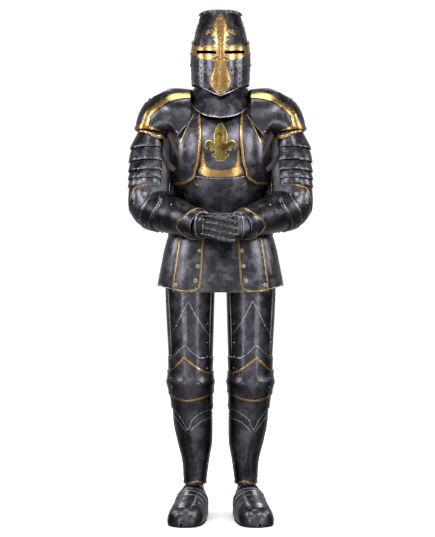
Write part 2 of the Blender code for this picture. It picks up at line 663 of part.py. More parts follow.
def build_arm(side, label):
    front = bent((0, 1, 2, 3), (-7.2, -24, -42, -45))
    plate(
        "pauldron_" + label, SHOULDER, (front, lambda t: 180 - front(t)), (0.0, 3.0), 0,
        columns=14, rows=(0, 0.17, 0.33, 0.5, 0.67, 0.8, 0.9, 1), side=side,
    )
    band = [
        (0.04, 38), (0.04, 57), (0.60, 49), (1.36, 40), (2.10, 45), (2.56, 40), (2.76, 44), (2.84, 66), (2.84, 100),
        (2.99, 100), (2.99, 30), (2.99, -20), (2.78, -20), (2.78, 10), (2.56, 24), (2.06, 28), (1.36, 27), (0.60, 34),
    ]
    inlay(
        "pauldron_band_" + label, lambda t, a, lift: SHOULDER.points(a, t, lift), band, (0.34, 13.0), LAYER + 0.0013,
        side=side,
    )
    top = bent((-36, -18, 0, 180, 198, 216), (1.390, 1.412, 1.436, 1.436, 1.412, 1.390))
    shares, climb = stepped((0.0, 0.33, 0.56, 0.73, 0.87, 1.0), (0.005, 0.005, 0.005, 0.005, 0.0))
    plate("arm_lames_" + label, UPPER_ARM, (-36, 216), (top, 1.222), climb, columns=14, rows=shares, side=side)
    plate("arming_sleeve_" + label, SLEEVE, (0, 360), (0.0, 4.4), 0, columns=12, rows=7, look=CLOTH, side=side)
    plate(
        "couter_" + label, FOREARM, (-54, 234), (-0.034, BEND_END + 0.012),
        lambda share: LAYER + 0.0015 - 0.0016 * share, columns=16, rows=5, side=side,
    )
    plate("vambrace_" + label, FOREARM, (0, 360), (BEND_END, BEND_END + 0.222), 0, columns=20, rows=3, side=side)
    point = even((0, 32, 67, 180), (0.175, 0.197, 0.212, 0.215))
    plate(
        "cuff_" + label, FOREARM, (0, 360), (lambda a: BEND_END + point(a - CUFF_TURN), BEND_END + 0.246),
        lambda share: LAYER - 0.0004 + 0.0032 * (1 - share) ** 3, columns=20, rows=2, side=side,
    )


def build_hands():
    """Each hand is a shell whose four fingers are ridged from the knuckles on."""
    reach = np.arange(-8, 8) / 4
    height = np.where(reach < 0, 1 + reach, 1 - reach)
    angle = np.degrees(np.arcsin(np.sign(height) * np.abs(height) ** (1 / HAND_POWER)))
    angle = np.where(reach < 0, angle, 180 - angle)
    columns = (angle + 90) / 360
    ridge = np.where(np.arange(16) % 2, 0.0026, -0.0012)
    for side, label, rows in ((-1, "right", TOP_HAND_ROWS), (1, "left", UNDER_HAND_ROWS)):
        plate(
            "hand_" + label, hand_limb(rows), (-90, 270), (0.0, len(rows) - 1.0),
            lambda share: np.clip(share * 4 - 1.2, 0, 1) * ridge, columns=columns, rows=7, side=side,
        )


def build_leg(side, label):
    shares = (0.0, 0.1, 0.25, 0.55, 1.0)
    plate("cuisse_" + label, LEG, (0, 360), (0.575, 0.985), 0, columns=20, rows=shares, side=side)
    high = bent((-108, -90, 0, 45, 108), (0.690, 0.690, 0.806, 0.695, 0.640))
    plate("cuisse_lames_" + label, LEG, (-108, 108), (0.520, high), LAYER, columns=12, rows=4, side=side)
    high = bent((-110, -75, -30, 12, 60, 110), (0.536, 0.538, 0.556, 0.597, 0.545, 0.540))
    low = bent((-110, -60, 0, 20, 60, 110), (0.470, 0.461, 0.440, 0.434, 0.447, 0.470))
    plate("poleyn_" + label, LEG, (-108, 108), (low, high), 2 * LAYER + 0.0007, columns=12, rows=5, side=side)
    low = bent((-108, -72, 0, 54, 108), (0.400, 0.385, 0.326, 0.385, 0.400))
    plate("shin_lames_" + label, LEG, (-108, 108), (low, 0.515), LAYER + 0.0006, columns=12, rows=4, side=side)
    plate("greave_" + label, LEG, (0, 360), (0.1198, 0.420), 0, columns=20, rows=5, side=side)


def build_foot(side, label):
    foot = foot_limb()
    shares = (-0.068, -0.058, -0.04, -0.01, 0.02, 0.05, 0.09, 0.14, 0.185, 0.21, 0.223, 0.231)
    spread = (np.array(shares) + 0.068) / 0.299
    plate("sabaton_" + label, foot, (-88, 88), (-0.068, 0.231), 0, columns=10, rows=spread, side=side)
    points = foot.bare(*np.meshgrid((-90.0, 90.0), shares))[0]
    points[..., 2] = 0.0
    grid_object("sabaton_sole_" + label, points, np.zeros_like(points) + (0, 0, 1), SOLE, SOLE_THICK, False, side)


def build_all():
    build_helm()
    build_gorget()
    build_torso()
    build_skirt()
    for side, label in ((-1, "right"), (1, "left")):
        build_arm(side, label)
        build_leg(side, label)
        build_foot(side, label)
    build_hands()


build_all()
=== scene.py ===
"""The looks of the suit of plate armour: finer plates, lames, rims, rivets, scaled fingers and finishes.

Metres, +Z up. The front faces -Y and the origin is on the floor under the middle of the suit. The tables
and the limbs are those of the part's source, so each piece lies where its solid does.
"""

import math

import bpy
import numpy as np
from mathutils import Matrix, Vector
from mathutils.geometry import delaunay_2d_cdt


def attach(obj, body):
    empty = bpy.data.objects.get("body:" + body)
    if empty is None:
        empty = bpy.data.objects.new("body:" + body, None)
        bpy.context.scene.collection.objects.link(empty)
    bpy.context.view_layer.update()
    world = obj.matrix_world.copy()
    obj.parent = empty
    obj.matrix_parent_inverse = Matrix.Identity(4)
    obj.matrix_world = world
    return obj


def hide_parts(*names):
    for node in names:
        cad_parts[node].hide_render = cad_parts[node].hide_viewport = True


# Driving dimensions
WALL = 0.002  # steel plate
BRASS_WALL = 0.0012
GAP = 0.0010  # clearance between a plate and the one laid over it
LAYER = WALL + GAP
SEAM = 0.0005  # clearance where two plates meet edge to edge
FIGURE_Y = 0.088578  # how far the body's middle stands behind the origin
SOLE_THICK = 0.005
FOOT_TURN = math.radians(11)  # how far each toe points outwards

# The helm's levels
HELM_TOP = 1.862
SLIT_HEIGHT = 0.0095
SLIT_ANGLE = 60.0  # half of the sight's reach round the helm, in degrees
FACE_ANGLE = 78.75  # where the face meets the back, on the crown's own facets
COLLAR_TOP = 1.640
COLLAR_RADIUS = 0.078

# The body's levels
NECK_Z = 1.505
WAIST_TOP = 1.118
WAIST_LOW = 1.040
SKIRT_LOW = 0.834
TASSET_TOP = 1.033
TASSET_ANGLES = (16.5, 46.0)
CUFF_TURN = 17.0  # where the cuff's point lies round the forearm, in degrees
HAND_POWER = 0.8  # squareness of a hand's section
# Columns: height, x, y, half width, front, back, keel of the front
HELM_ROWS = [
    (1.530, 0, 0, 0.0930, 0.118, 0.098, 0.014), (1.560, 0, 0, 0.0990, 0.122, 0.104, 0.015),
    (1.615, 0, 0, 0.1035, 0.124, 0.110, 0.015), (1.665, 0, 0, 0.1050, 0.124, 0.113, 0.014),
    (1.700, 0, 0, 0.1045, 0.122, 0.113, 0.012), (1.743, 0, 0, 0.1010, 0.116, 0.110, 0.009),
    (1.793, 0, 0, 0.0929, 0.105, 0.101, 0.006), (1.835, 0, 0, 0.0830, 0.093, 0.091, 0.003),
    (1.862, 0, 0, 0.0758, 0.085, 0.083, 0.001),
]
GORGET_ROWS = [
    (1.445, 0, 0, 0.150, 0.153, 0.135, 0.006), (1.480, 0, 0, 0.140, 0.142, 0.130, 0.005),
    (1.520, 0, 0, 0.129, 0.127, 0.123, 0.003), (1.555, 0, 0, 0.117, 0.112, 0.114, 0.000),
    (1.575, 0, 0, 0.108, 0.103, 0.106, 0.000), (1.590, 0, 0, 0.097, 0.094, 0.096, 0.000),
    (1.600, 0, 0, 0.0860, 0.0850, 0.0860, 0.000), (1.606, 0, 0, 0.0800, 0.0800, 0.0800, 0.000),
]
TORSO_ROWS = [
    (1.020, 0, 0, 0.166, 0.128, 0.122, 0.000), (1.090, 0, 0, 0.156, 0.122, 0.112, 0.003),
    (1.160, 0, 0, 0.163, 0.130, 0.115, 0.006), (1.230, 0, 0, 0.1755, 0.145, 0.122, 0.010),
    (1.300, 0, 0, 0.1775, 0.155, 0.128, 0.012), (1.370, 0, 0, 0.177, 0.152, 0.130, 0.010),
    (1.430, 0, 0, 0.169, 0.136, 0.126, 0.006), (1.480, 0, 0, 0.152, 0.114, 0.116, 0.003),
    (1.520, 0, 0, 0.125, 0.090, 0.102, 0.000), (1.550, 0, 0, 0.098, 0.075, 0.088, 0.000),
]
SKIRT_ROWS = [
    (0.820, 0, 0, 0.238, 0.180, 0.173, 0.000), (0.880, 0, 0, 0.229, 0.173, 0.167, 0.000),
    (0.930, 0, 0, 0.219, 0.166, 0.160, 0.000), (0.990, 0, 0, 0.207, 0.156, 0.150, 0.000),
    (1.045, 0, 0, 0.190, 0.146, 0.139, 0.000), (1.085, 0, 0, 0.1675, 0.130, 0.122, 0.001),
    (1.125, 0, 0, 0.1585, 0.1255, 0.1145, 0.003),
]
UPPER_ARM_ROWS = [
    (1.190, 0.2617, -0.0454, 0.0705, 0.0705, 0.0705, 0),
    (1.236, 0.2617, -0.0454, 0.0705, 0.0705, 0.0705, 0),
    (1.270, 0.2600, -0.0390, 0.0715, 0.0710, 0.0710, 0),
    (1.300, 0.2588, -0.0290, 0.0720, 0.0710, 0.0710, 0),
    (1.360, 0.2560, -0.0120, 0.0710, 0.0710, 0.0710, 0),
    (1.400, 0.2480, -0.0040, 0.0650, 0.0700, 0.0700, 0),
    (1.450, 0.2380, 0.0000, 0.0540, 0.0660, 0.0660, 0),
]
# Columns: place along the sleeve, x, y, height, turn of its outer side from upright in degrees,
# reach outwards, inwards, forwards and backwards
SLEEVE_ROWS = [
    (0.0, 0.140, 0.0000, 1.430, 2.0, 0.0600, 0.0600, 0.0560),
    (0.6, 0.185, 0.0000, 1.435, 22.0, 0.0710, 0.0720, 0.0580),
    (1.2, 0.225, -0.0020, 1.422, 62.0, 0.0680, 0.0720, 0.0610),
    (1.8, 0.2485, -0.0045, 1.395, 90.0, 0.0600, 0.0650, 0.0625),
    (2.4, 0.2560, -0.0130, 1.350, 90.0, 0.0664, 0.0700, 0.0640),
    (3.2, 0.2588, -0.0300, 1.297, 90.0, 0.0670, 0.0710, 0.0640),
    (3.5, 0.2601, -0.0390, 1.268, 90.0, 0.0668, 0.0695, 0.0645),
    (3.8, 0.2617, -0.0454, 1.236, 90.0, 0.0660, 0.0670, 0.0660),
    (4.4, 0.2617, -0.0454, 1.178, 90.0, 0.0655, 0.0655, 0.0655),
]
LEG_ROWS = [
    (0.095, 0.0950, 0.000, 0.0420, 0.050, 0.050, 0.000),
    (0.130, 0.0945, 0.002, 0.0410, 0.048, 0.050, 0.003),
    (0.207, 0.0925, 0.004, 0.0480, 0.051, 0.060, 0.005),
    (0.270, 0.0950, 0.004, 0.0610, 0.060, 0.078, 0.006),
    (0.326, 0.1005, 0.002, 0.0680, 0.067, 0.082, 0.004),
    (0.390, 0.1045, -0.004, 0.0715, 0.071, 0.076, 0.000),
    (0.440, 0.1075, -0.010, 0.0735, 0.077, 0.070, 0.000),
    (0.494, 0.1110, -0.014, 0.0785, 0.085, 0.068, 0.000),
    (0.540, 0.1112, -0.012, 0.0775, 0.080, 0.072, 0.000),
    (0.590, 0.1107, -0.008, 0.0795, 0.078, 0.079, 0.000),
    (0.650, 0.1114, -0.004, 0.0829, 0.082, 0.086, 0.000),
    (0.750, 0.1128, 0.000, 0.0873, 0.089, 0.092, 0.000),
    (0.850, 0.1133, 0.003, 0.0903, 0.093, 0.095, 0.000),
    (0.935, 0.1125, 0.005, 0.0895, 0.094, 0.094, 0.000),
    (0.985, 0.1130, 0.005, 0.0915, 0.092, 0.092, 0.000),
]

# Columns: place along the shoulder, x, y, height, turn of the crest from upright in degrees,
# reach to the crest, reach inwards, reach forwards and backwards
SHOULDER_ROWS = [
    (-1.0, 0.060, 0, 1.480, 0.0, 0.0900, 0.150, 0.108),
    (0.0, 0.1097, 0, 1.470, 0.0, 0.1120, 0.150, 0.114),
    (1.0, 0.170, 0, 1.462, 15.0, 0.1250, 0.150, 0.118),
    (2.0, 0.205, 0, 1.450, 43.0, 0.1110, 0.110, 0.110),
    (3.0, 0.237, 0, 1.424, 84.0, 0.0790, 0.085, 0.094),
]

# Columns: distance from the ankle towards the toe, half width, height above the sole
FOOT_ROWS = [
    (-0.068, 0.0030, 0.086), (-0.062, 0.0220, 0.094), (-0.048, 0.0320, 0.101), (-0.028, 0.0370, 0.109),
    (-0.010, 0.0370, 0.134), (0.010, 0.0400, 0.140), (0.030, 0.0450, 0.123), (0.050, 0.0560, 0.107),
    (0.080, 0.0615, 0.100), (0.110, 0.0635, 0.088), (0.150, 0.0645, 0.077), (0.190, 0.0590, 0.065),
    (0.214, 0.0450, 0.050), (0.227, 0.0210, 0.026), (0.231, 0.0040, 0.008),
]

# The elbow's bend, for the arm at +X
ELBOW_PIVOT = np.array((0.2143, -0.0976, 1.200))
FOREARM_WAY = np.array((-0.6516, -0.7172, -0.2516))
# Columns: distance from the elbow along the forearm, radius
FOREARM_ROWS = [
    (0.020, 0.0705), (0.070, 0.0670), (0.130, 0.0605), (0.190, 0.0530), (0.250, 0.0470),
]
# Columns: turn of the elbow's section in degrees, radius
ELBOW_ROWS = [(-30.0, 0.0705), (0.0, 0.0710), (25.0, 0.0760), (50.0, 0.0765), (73.0, 0.0725)]

# Columns: x, y, z of a hand's middle, half height, half thickness; the hand underneath and the one on top
UNDER_HAND_ROWS = [
    (0.0745, -0.2515, 1.0710, 0.0441, 0.0441), (0.0480, -0.2790, 1.0680, 0.041, 0.019),
    (0.0240, -0.2920, 1.0630, 0.043, 0.0135), (-0.0020, -0.2920, 1.0570, 0.043, 0.0120),
    (-0.0140, -0.2885, 1.0530, 0.041, 0.0105),
]
TOP_HAND_ROWS = [
    (0.0745, -0.2515, 1.0710, 0.0441, 0.0441), (0.0530, -0.2920, 1.0680, 0.041, 0.019),
    (0.0300, -0.3210, 1.0630, 0.044, 0.0140), (0.0000, -0.3330, 1.0550, 0.045, 0.0125),
    (-0.0310, -0.3300, 1.0470, 0.044, 0.0115), (-0.0520, -0.3180, 1.0420, 0.042, 0.0100),
]

# Outlines of one half, as columns: distance from the middle, height above the foot of the design
HELM_LILY = [
    (0.000, 0.000), (0.010, 0.001), (0.010, 0.012), (0.019, 0.014), (0.019, 0.021), (0.011, 0.023),
    (0.013, 0.034), (0.023, 0.030), (0.027, 0.036), (0.021, 0.038), (0.025, 0.044), (0.034, 0.041),
    (0.038, 0.031), (0.045, 0.047), (0.036, 0.060), (0.022, 0.059), (0.012, 0.046), (0.017, 0.062),
    (0.018, 0.080), (0.010, 0.098), (0.000, 0.118),
]
BREAST_LILY = [
    (0.000, 0.000), (0.015, 0.004), (0.013, 0.018), (0.026, 0.020), (0.026, 0.029), (0.013, 0.032),
    (0.016, 0.048), (0.029, 0.040), (0.036, 0.048), (0.028, 0.052), (0.032, 0.061), (0.043, 0.058),
    (0.047, 0.045), (0.056, 0.066), (0.045, 0.084), (0.028, 0.083), (0.015, 0.067), (0.021, 0.088),
    (0.021, 0.112), (0.012, 0.136), (0.000, 0.160),
]

# The picture
CAMERA_FAR = 4.5  # from the camera to the middle of the suit
CAMERA_X = -0.0112
CAMERA_HEIGHT = 0.918
LENS = 81.0
FLOOR_SIZE = 5.0  # half of its side


def unit(vector):
    return vector / np.linalg.norm(vector, axis=-1, keepdims=True)


def smooth(keys, values, slopes, t):
    """The values at t, or the rows of values, on a smooth curve through those at the keys."""
    t = np.clip(t, keys[0], keys[-1])
    i = np.clip(np.searchsorted(keys, t, side="right") - 1, 0, len(keys) - 2)
    step, s = keys[i + 1] - keys[i], t - keys[i]
    if values.ndim > 1:
        step, s = step[..., None], s[..., None]
    s = s / step
    return (
        values[i] * (2 * s**3 - 3 * s**2 + 1)
        + values[i + 1] * (3 * s**2 - 2 * s**3)
        + slopes[i] * step * (s**3 - 2 * s**2 + s)
        + slopes[i + 1] * step * (s**3 - s**2)
    )


class Limb:
    """A run of oval sections. Angle 0 is its front, 90 its outer side, 180 its back."""

    def __init__(self, keys, centres, outers, fronts, reaches, keels=0.0, power=1.0):
        self.keys = np.array(keys, float)
        self.power = power
        outers, fronts = (np.broadcast_to(ways, (len(keys), 3)) for ways in (outers, fronts))
        keels = np.broadcast_to(keels, len(keys))
        self.table = np.column_stack([centres, outers, fronts, reaches, keels])
        self.slopes = np.gradient(self.table, self.keys, axis=0)

    def section(self, t):
        """Every column of the table at t."""
        return smooth(self.keys, self.table, self.slopes, t)

    def bare(self, angle, t):
        """(points on the limb, centres of their sections)."""
        row = self.section(t)
        centre, outer, front = row[..., 0:3], unit(row[..., 3:6]), unit(row[..., 6:9])
        sine, cosine = np.sin(np.radians(angle)), np.cos(np.radians(angle))
        across = np.sign(sine) * np.abs(sine) ** self.power
        along = np.sign(cosine) * np.abs(cosine) ** self.power
        across = across * np.where(sine >= 0, row[..., 9], row[..., 10])
        along = along * np.where(cosine >= 0, row[..., 11], row[..., 12])
        along = along + np.where(cosine > 0, row[..., 13] * (1 - np.abs(sine)) ** 2, 0)
        return centre + outer * across[..., None] + front * along[..., None], centre

    def __call__(self, angle, t, offset):
        """Points that far outside the limb."""
        turn, step = 0.5, (self.keys[-1] - self.keys[0]) * 1e-4
        angle, t, offset = np.broadcast_arrays(*(np.asarray(x, float) for x in (angle, t, offset)))
        here, centre = self.bare(angle, t)
        round_it = self.bare(angle + turn, t)[0] - self.bare(angle - turn, t)[0]
        t_in = np.clip(t, self.keys[0] + step, self.keys[-1] - step)
        along_it = self.bare(angle, t_in + step)[0] - self.bare(angle, t_in - step)[0]
        normal = unit(np.cross(round_it, along_it))
        inwards = np.sum(normal * (here - centre), axis=-1, keepdims=True) < 0
        return here + np.where(inwards, -normal, normal) * offset[..., None]


def upright_limb(rows, power=1.0):
    """A limb whose sections are level, from rows of height, x, y, half width, front, back and keel."""
    rows = np.array(rows, float)
    centres, reaches = rows[:, [1, 2, 0]], rows[:, [3, 3, 4, 5]]
    return Limb(rows[:, 0], centres, (1.0, 0.0, 0.0), (0.0, -1.0, 0.0), reaches, rows[:, 6], power)


def turning_limb(rows):
    """A limb that turns from level at the neck to upright along the arm."""
    rows = np.array(rows)
    lean = np.radians(rows[:, 4])
    outers = np.column_stack([np.sin(lean), 0 * lean, np.cos(lean)])
    return Limb(rows[:, 0], rows[:, 1:4], outers, (0.0, -1.0, 0.0), rows[:, [5, 6, 7, 7]])


def forearm_limb():
    """The elbow's fan of sections round its pivot, then the forearm. The key is the distance along it."""
    way = unit(FOREARM_WAY)
    down = np.array((0.0, 0.0, -1.0))
    outwards = -unit(way - down * np.dot(way, down))
    axis = np.cross(down, outwards)
    keys, centres, outers, reaches = [], [], [], []
    for turn, radius in ELBOW_ROWS:
        angle = math.radians(turn)
        outer = outwards * math.cos(angle) + down * math.sin(angle)
        if turn < 0:
            outer = outwards
        centre = ELBOW_PIVOT + outer * radius
        if turn < 0:
            centre = centre - down * radius * abs(angle)
        keys.append(angle * ELBOW_ROWS[1][1])
        centres.append(centre)
        outers.append(outer)
        reaches.append(radius)
    bend_end = centres[-1]
    last_key = keys[-1]
    for distance, radius in FOREARM_ROWS:
        keys.append(last_key + distance)
        centres.append(bend_end + way * distance)
        outers.append(outers[len(ELBOW_ROWS) - 1])
        reaches.append(radius)
    return Limb(keys, centres, outers, axis, np.column_stack([reaches] * 4)), last_key


def foot_limb():
    """The instep and toe, whose sections stand upright across the foot. Angle 0 is the top."""
    rows = np.array(FOOT_ROWS)
    ankle = np.array((LEG_ROWS[0][1], 0.0, SOLE_THICK + SEAM))
    toeward = np.array((math.sin(FOOT_TURN), -math.cos(FOOT_TURN), 0.0))
    sideways = np.array((math.cos(FOOT_TURN), math.sin(FOOT_TURN), 0.0))
    centres = ankle + rows[:, [0]] * toeward
    return Limb(rows[:, 0], centres, sideways, (0.0, 0.0, 1.0), rows[:, [1, 1, 2, 2]], power=0.86)


def hand_limb(rows):
    """A gauntlet's hand, swept from the wrist round the fingers. Angle 0 is its back, 90 its top."""
    rows = np.array(rows)
    middles = rows[:, :3]
    ways = unit(np.gradient(middles, axis=0))
    upright = np.array((0.0, 0.0, 1.0))
    tops = unit(upright - ways * (ways @ upright)[:, None])
    backs = unit(np.cross(ways, tops))
    return Limb(np.arange(len(rows)), middles, tops, backs, rows[:, [3, 3, 4, 4]], power=HAND_POWER)


HELM = upright_limb(HELM_ROWS)
GORGET = upright_limb(GORGET_ROWS)
TORSO = upright_limb(TORSO_ROWS, power=0.92)
SKIRT = upright_limb(SKIRT_ROWS, power=0.95)
UPPER_ARM = upright_limb(UPPER_ARM_ROWS)
LEG = upright_limb(LEG_ROWS)
SHOULDER = turning_limb(SHOULDER_ROWS)
SLEEVE = turning_limb(SLEEVE_ROWS)
FOREARM, BEND_END = forearm_limb()

# Columns: height above the helm's top, how far outside the helm
LID_EDGE = [
    (-0.0100, 0.0028), (-0.0100, 0.0050), (-0.0092, 0.0056), (0.0000, 0.0056), (0.0016, 0.0050),
    (0.0026, 0.0034), (0.0029, 0.0010),
]

# Places of details. Columns: angle, height or place along the limb
BREATH_HOLES = [
    (49.5, 1.6730), (49.5, 1.6550), (49.5, 1.6370), (50.0, 1.6180),
    (39.5, 1.6680), (39.5, 1.6480), (39.8, 1.6285), (40.2, 1.6085), (40.4, 1.5900),
    (29.5, 1.6620), (29.5, 1.6400), (29.8, 1.6190), (30.2, 1.5980), (30.4, 1.5770),
    (20.8, 1.6345), (21.6, 1.5660),
]
BROW_RIVETS = [
    (-10.5, 1.6800), (10.5, 1.6800), (-10.5, 1.7190), (10.5, 1.7190), (-83, 1.7540), (83, 1.7540),
    (-83, 1.7140), (83, 1.7140), (-83, 1.6740), (83, 1.6740),
]
NASAL_RIVETS = [(0, 1.6365), (-16.5, 1.5950), (16.5, 1.5950), (0, 1.5600)]
PAULDRON_RIVETS = [(-19, 1.05), (-33, 1.95), (45, 0.30), (72, 1.75), (199, 1.05), (213, 1.95)]
LAME_EDGES = (1.3645, 1.3160, 1.2790, 1.2495, 1.2225)
# Columns: x, height of a point on the strap
ARM_STRAPS = [
    [(0.188, 1.412), (0.181, 1.395), (0.166, 1.360), (0.147, 1.325)],
    [(0.212, 1.327), (0.204, 1.319), (0.189, 1.299), (0.168, 1.277)],
]
ELBOW_RIVETS = [
    (-3, 0.048), (183, 0.048), (32, 0.080), (44, 0.098), (58, 0.116), (74, 0.132), (148, 0.080), (136, 0.098),
    (122, 0.116),
]
VAMBRACE_RIVETS = [
    (-11, BEND_END + 0.055), (12, BEND_END + 0.060), (-46, BEND_END + 0.118), (50, BEND_END + 0.035),
    (80, BEND_END + 0.06),
]
THIGH_RIVETS = [(-47.5, 0.7157), (-47.0, 0.6461), (-48.5, 0.5950), (75, 0.80), (40, 0.835)]
KNEE_RIVETS = [(50, 0.4856), (53, 0.515), (56, 0.455), (-70, 0.505), (-76, 0.462)]
TASSET_RIVETS = [(19.8, 0.9814), (20.4, 0.9257), (21.6, 0.8744), (42.0, 0.8570)]
SABATON_EDGES = (-0.068, 0.012, 0.036, 0.060, 0.084, 0.108, 0.142, 0.231)

LOOKS = ("steel", "brass", "dark_brass", "leather", "arming_cloth", "sole_leather")

# How finely the plates are made
STEP = 0.0075  # the largest side of a face
RIBBON_STEP = 0.006
CHAMFER = 0.0005  # how far a plate's outer edge is rounded down
EDGE_IN = 0.0009  # how far from the edge the rounding starts
BEAD = 0.0017  # radius of a rolled rim
RIVET = 0.0036  # radius of a rivet's head
SMALL_RIVET = 0.0030
BRASS_RIVET = 0.0040  # a rivet of the helm's brass
ROLLED = (2 * BEAD, BEAD)  # width and height of a rolled rim
SINK = 0.0003  # how deep a detail is let into the surface that carries it
OUT = 0.001  # a short way out of a surface, to find the way out
SHARP = math.radians(42)  # faces that meet at more than this keep a sharp edge


class Piece:
    """One object of the scene, gathered from many sheets and details."""

    def __init__(self, name, stands_for=(), side=1, body="suit", slot="steel"):
        self.name, self.stands_for, self.side, self.body, self.slot = name, stands_for, side, body, slot
        self.points, self.faces, self.looks, self.edges, self.count = [], [], [], [], 0

    def add(self, points, faces, look="steel", edge=0.02):
        """More points and faces. The edge is each point's distance from its plate's edge."""
        self.points.append(points)
        self.edges.append(np.broadcast_to(edge, len(points)))
        self.faces += (np.asarray(faces) + self.count).tolist()
        self.looks += [LOOKS.index(look)] * len(faces)
        self.count += len(points)

    def build(self):
        points = np.concatenate(self.points) * (self.side, 1, 1) + (0, FIGURE_Y, 0)
        faces = [face[::-1] for face in self.faces] if self.side < 0 else self.faces
        mesh = bpy.data.meshes.new(self.name)
        mesh.from_pydata(points.tolist(), [], faces)
        used = sorted(set(self.looks))
        for look in used:
            mesh.materials.append(MATERIALS[LOOKS[look]])
        mesh.polygons.foreach_set("material_index", [used.index(look) for look in self.looks])
        mesh.attributes.new("edge", "FLOAT", "POINT").data.foreach_set("value", np.concatenate(self.edges))
        mesh.shade_smooth()
        mesh.set_sharp_from_angle(angle=SHARP)
        made = bpy.data.objects.new(self.name, mesh)
        bpy.context.scene.collection.objects.link(made)
        if self.stands_for:
            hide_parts(*self.stands_for)
        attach(made, self.body)
        return made


def labelled(name, side):
    return name + {-1: "_right", 0: "", 1: "_left"}[side]


def skin(node, side=0, **settings):
    """The piece that is seen in place of this node of the part."""
    return Piece(labelled(node + "_skin", side), [labelled(node, side)], side or 1, **settings)


def extra(name, side, slot):
    """A piece that lies on the others and stands for no node."""
    return Piece(labelled(name, side), (), side, slot=slot)


def dress_node(name, look):
    """A node of the part that is seen itself gets its finish."""
    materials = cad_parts[name].data.materials
    materials.clear()
    materials.append(MATERIALS[look])


def length_of(points):
    """The length of the longest row of points, along the second axis."""
    return np.linalg.norm(np.diff(points, axis=1), axis=-1).sum(axis=1).max()


def spaced(length, ring=False, step=STEP, fixed=()):
    """Shares of a length, evenly spaced, with one more near each end for the rounded edge."""
    count = max(2, math.ceil(length / step))
    if ring:
        return np.linspace(0, 1, max(count, 24), endpoint=False)
    near = min(EDGE_IN / length, 0.2)
    inner = np.linspace(near, 1 - near, count)
    inner = np.unique(np.concatenate([inner, [x for x in fixed if near < x < 1 - near]]))
    return np.concatenate([[0.0], inner, [1.0]])


def distance_in(points, ring):
    """Each point's distance from the nearer end of its row."""
    if ring:
        return np.full(points.shape[:2], 1.0)
    steps = np.linalg.norm(np.diff(points, axis=1), axis=-1)
    before = np.concatenate([np.zeros((len(points), 1)), np.cumsum(steps, axis=1)], axis=1)
    return np.minimum(before, before[:, -1:] - before)


def quads(*corners):
    return np.stack([corner.ravel() for corner in corners], axis=1)


def thick_faces(rows, columns, ring):
    """Faces of two grids of points, the outer one first, joined along their borders."""
    index = np.arange(rows * columns).reshape(rows, columns)
    if ring:
        index = np.concatenate([index, index[:, :1]], axis=1)
    inner = index + rows * columns
    faces = [
        quads(index[:-1, :-1], index[:-1, 1:], index[1:, 1:], index[1:, :-1]),
        quads(inner[:-1, :-1], inner[1:, :-1], inner[1:, 1:], inner[:-1, 1:]),
        quads(index[0, 1:], index[0, :-1], inner[0, :-1], inner[0, 1:]),
        quads(index[-1, :-1], index[-1, 1:], inner[-1, 1:], inner[-1, :-1]),
    ]
    if not ring:
        faces.append(quads(index[:-1, 0], index[1:, 0], inner[1:, 0], inner[:-1, 0]))
        faces.append(quads(index[1:, -1], index[:-1, -1], inner[:-1, -1], inner[1:, -1]))
    return np.concatenate(faces)


def inside_out(points, faces, ways):
    """Whether the faces look the other way than these ways of their first points."""
    a, b, c = (points[faces[:, i]] for i in range(3))
    return np.sum(np.cross(b - a, c - a) * ways[faces[:, 0]]) < 0


def sheet(piece, outer, inner, ring=False, look="steel"):
    """A thick sheet between two grids of points."""
    rows, columns = outer.shape[:2]
    faces = thick_faces(rows, columns, ring)
    points = np.concatenate([outer.reshape(-1, 3), inner.reshape(-1, 3)])
    outer_faces = faces[: (rows - 1) * (columns if ring else columns - 1)]
    if inside_out(points, outer_faces, (outer - inner).reshape(-1, 3)):
        faces = faces[:, ::-1]
    edge = np.minimum(distance_in(outer, ring), distance_in(outer.swapaxes(0, 1), False).T)
    piece.add(points, faces, look, np.concatenate([edge.ravel()] * 2))


def as_function(value):
    return value if callable(value) else lambda other: np.full_like(other, float(value))


def grid_of(angles, span, across, along):
    """(angle, place) of the points at these shares, where the angles or the places may be functions."""
    first, last = angles
    low, high = span
    u, v = across[None, :], along[:, None]
    if callable(first) or callable(last):
        t = low + (high - low) * v + 0 * u
        begin, end = as_function(first)(t), as_function(last)(t)
        return begin + (end - begin) * u, t
    angle = first + (last - first) * u + 0 * v
    begin, end = as_function(low)(angle), as_function(high)(angle)
    return angle, begin + (end - begin) * v


def plate(piece, limb, angles, span, lift=0.0, wall=WALL, relief=None, look="steel", step=STEP, fixed=()):
    """A plate between two angles and two places along a limb.

    The lift is one number, or a function of the share of the way along. The relief is a function of
    the angle and the place, and moves both faces. The fixed shares get a column of points.
    """
    few = np.linspace(0, 1, 9)
    coarse = limb(*grid_of(angles, span, few, few), 0.0)
    ring = not callable(angles[0]) and angles[1] - angles[0] == 360
    across = spaced(length_of(coarse), ring, step, fixed)
    along = spaced(length_of(coarse.swapaxes(0, 1)), False, step)
    angle, t = grid_of(angles, span, across, along)
    rise = lift(along[:, None] + 0 * across) if callable(lift) else lift
    rise = rise + (relief(angle, t) if relief else 0.0) + 0 * angle
    down = np.zeros_like(angle)
    down[[0, -1], :] = CHAMFER
    if not ring:
        down[:, [0, -1]] = CHAMFER
    sheet(piece, limb(angle, t, rise + wall - down), limb(angle, t, rise), ring, look)


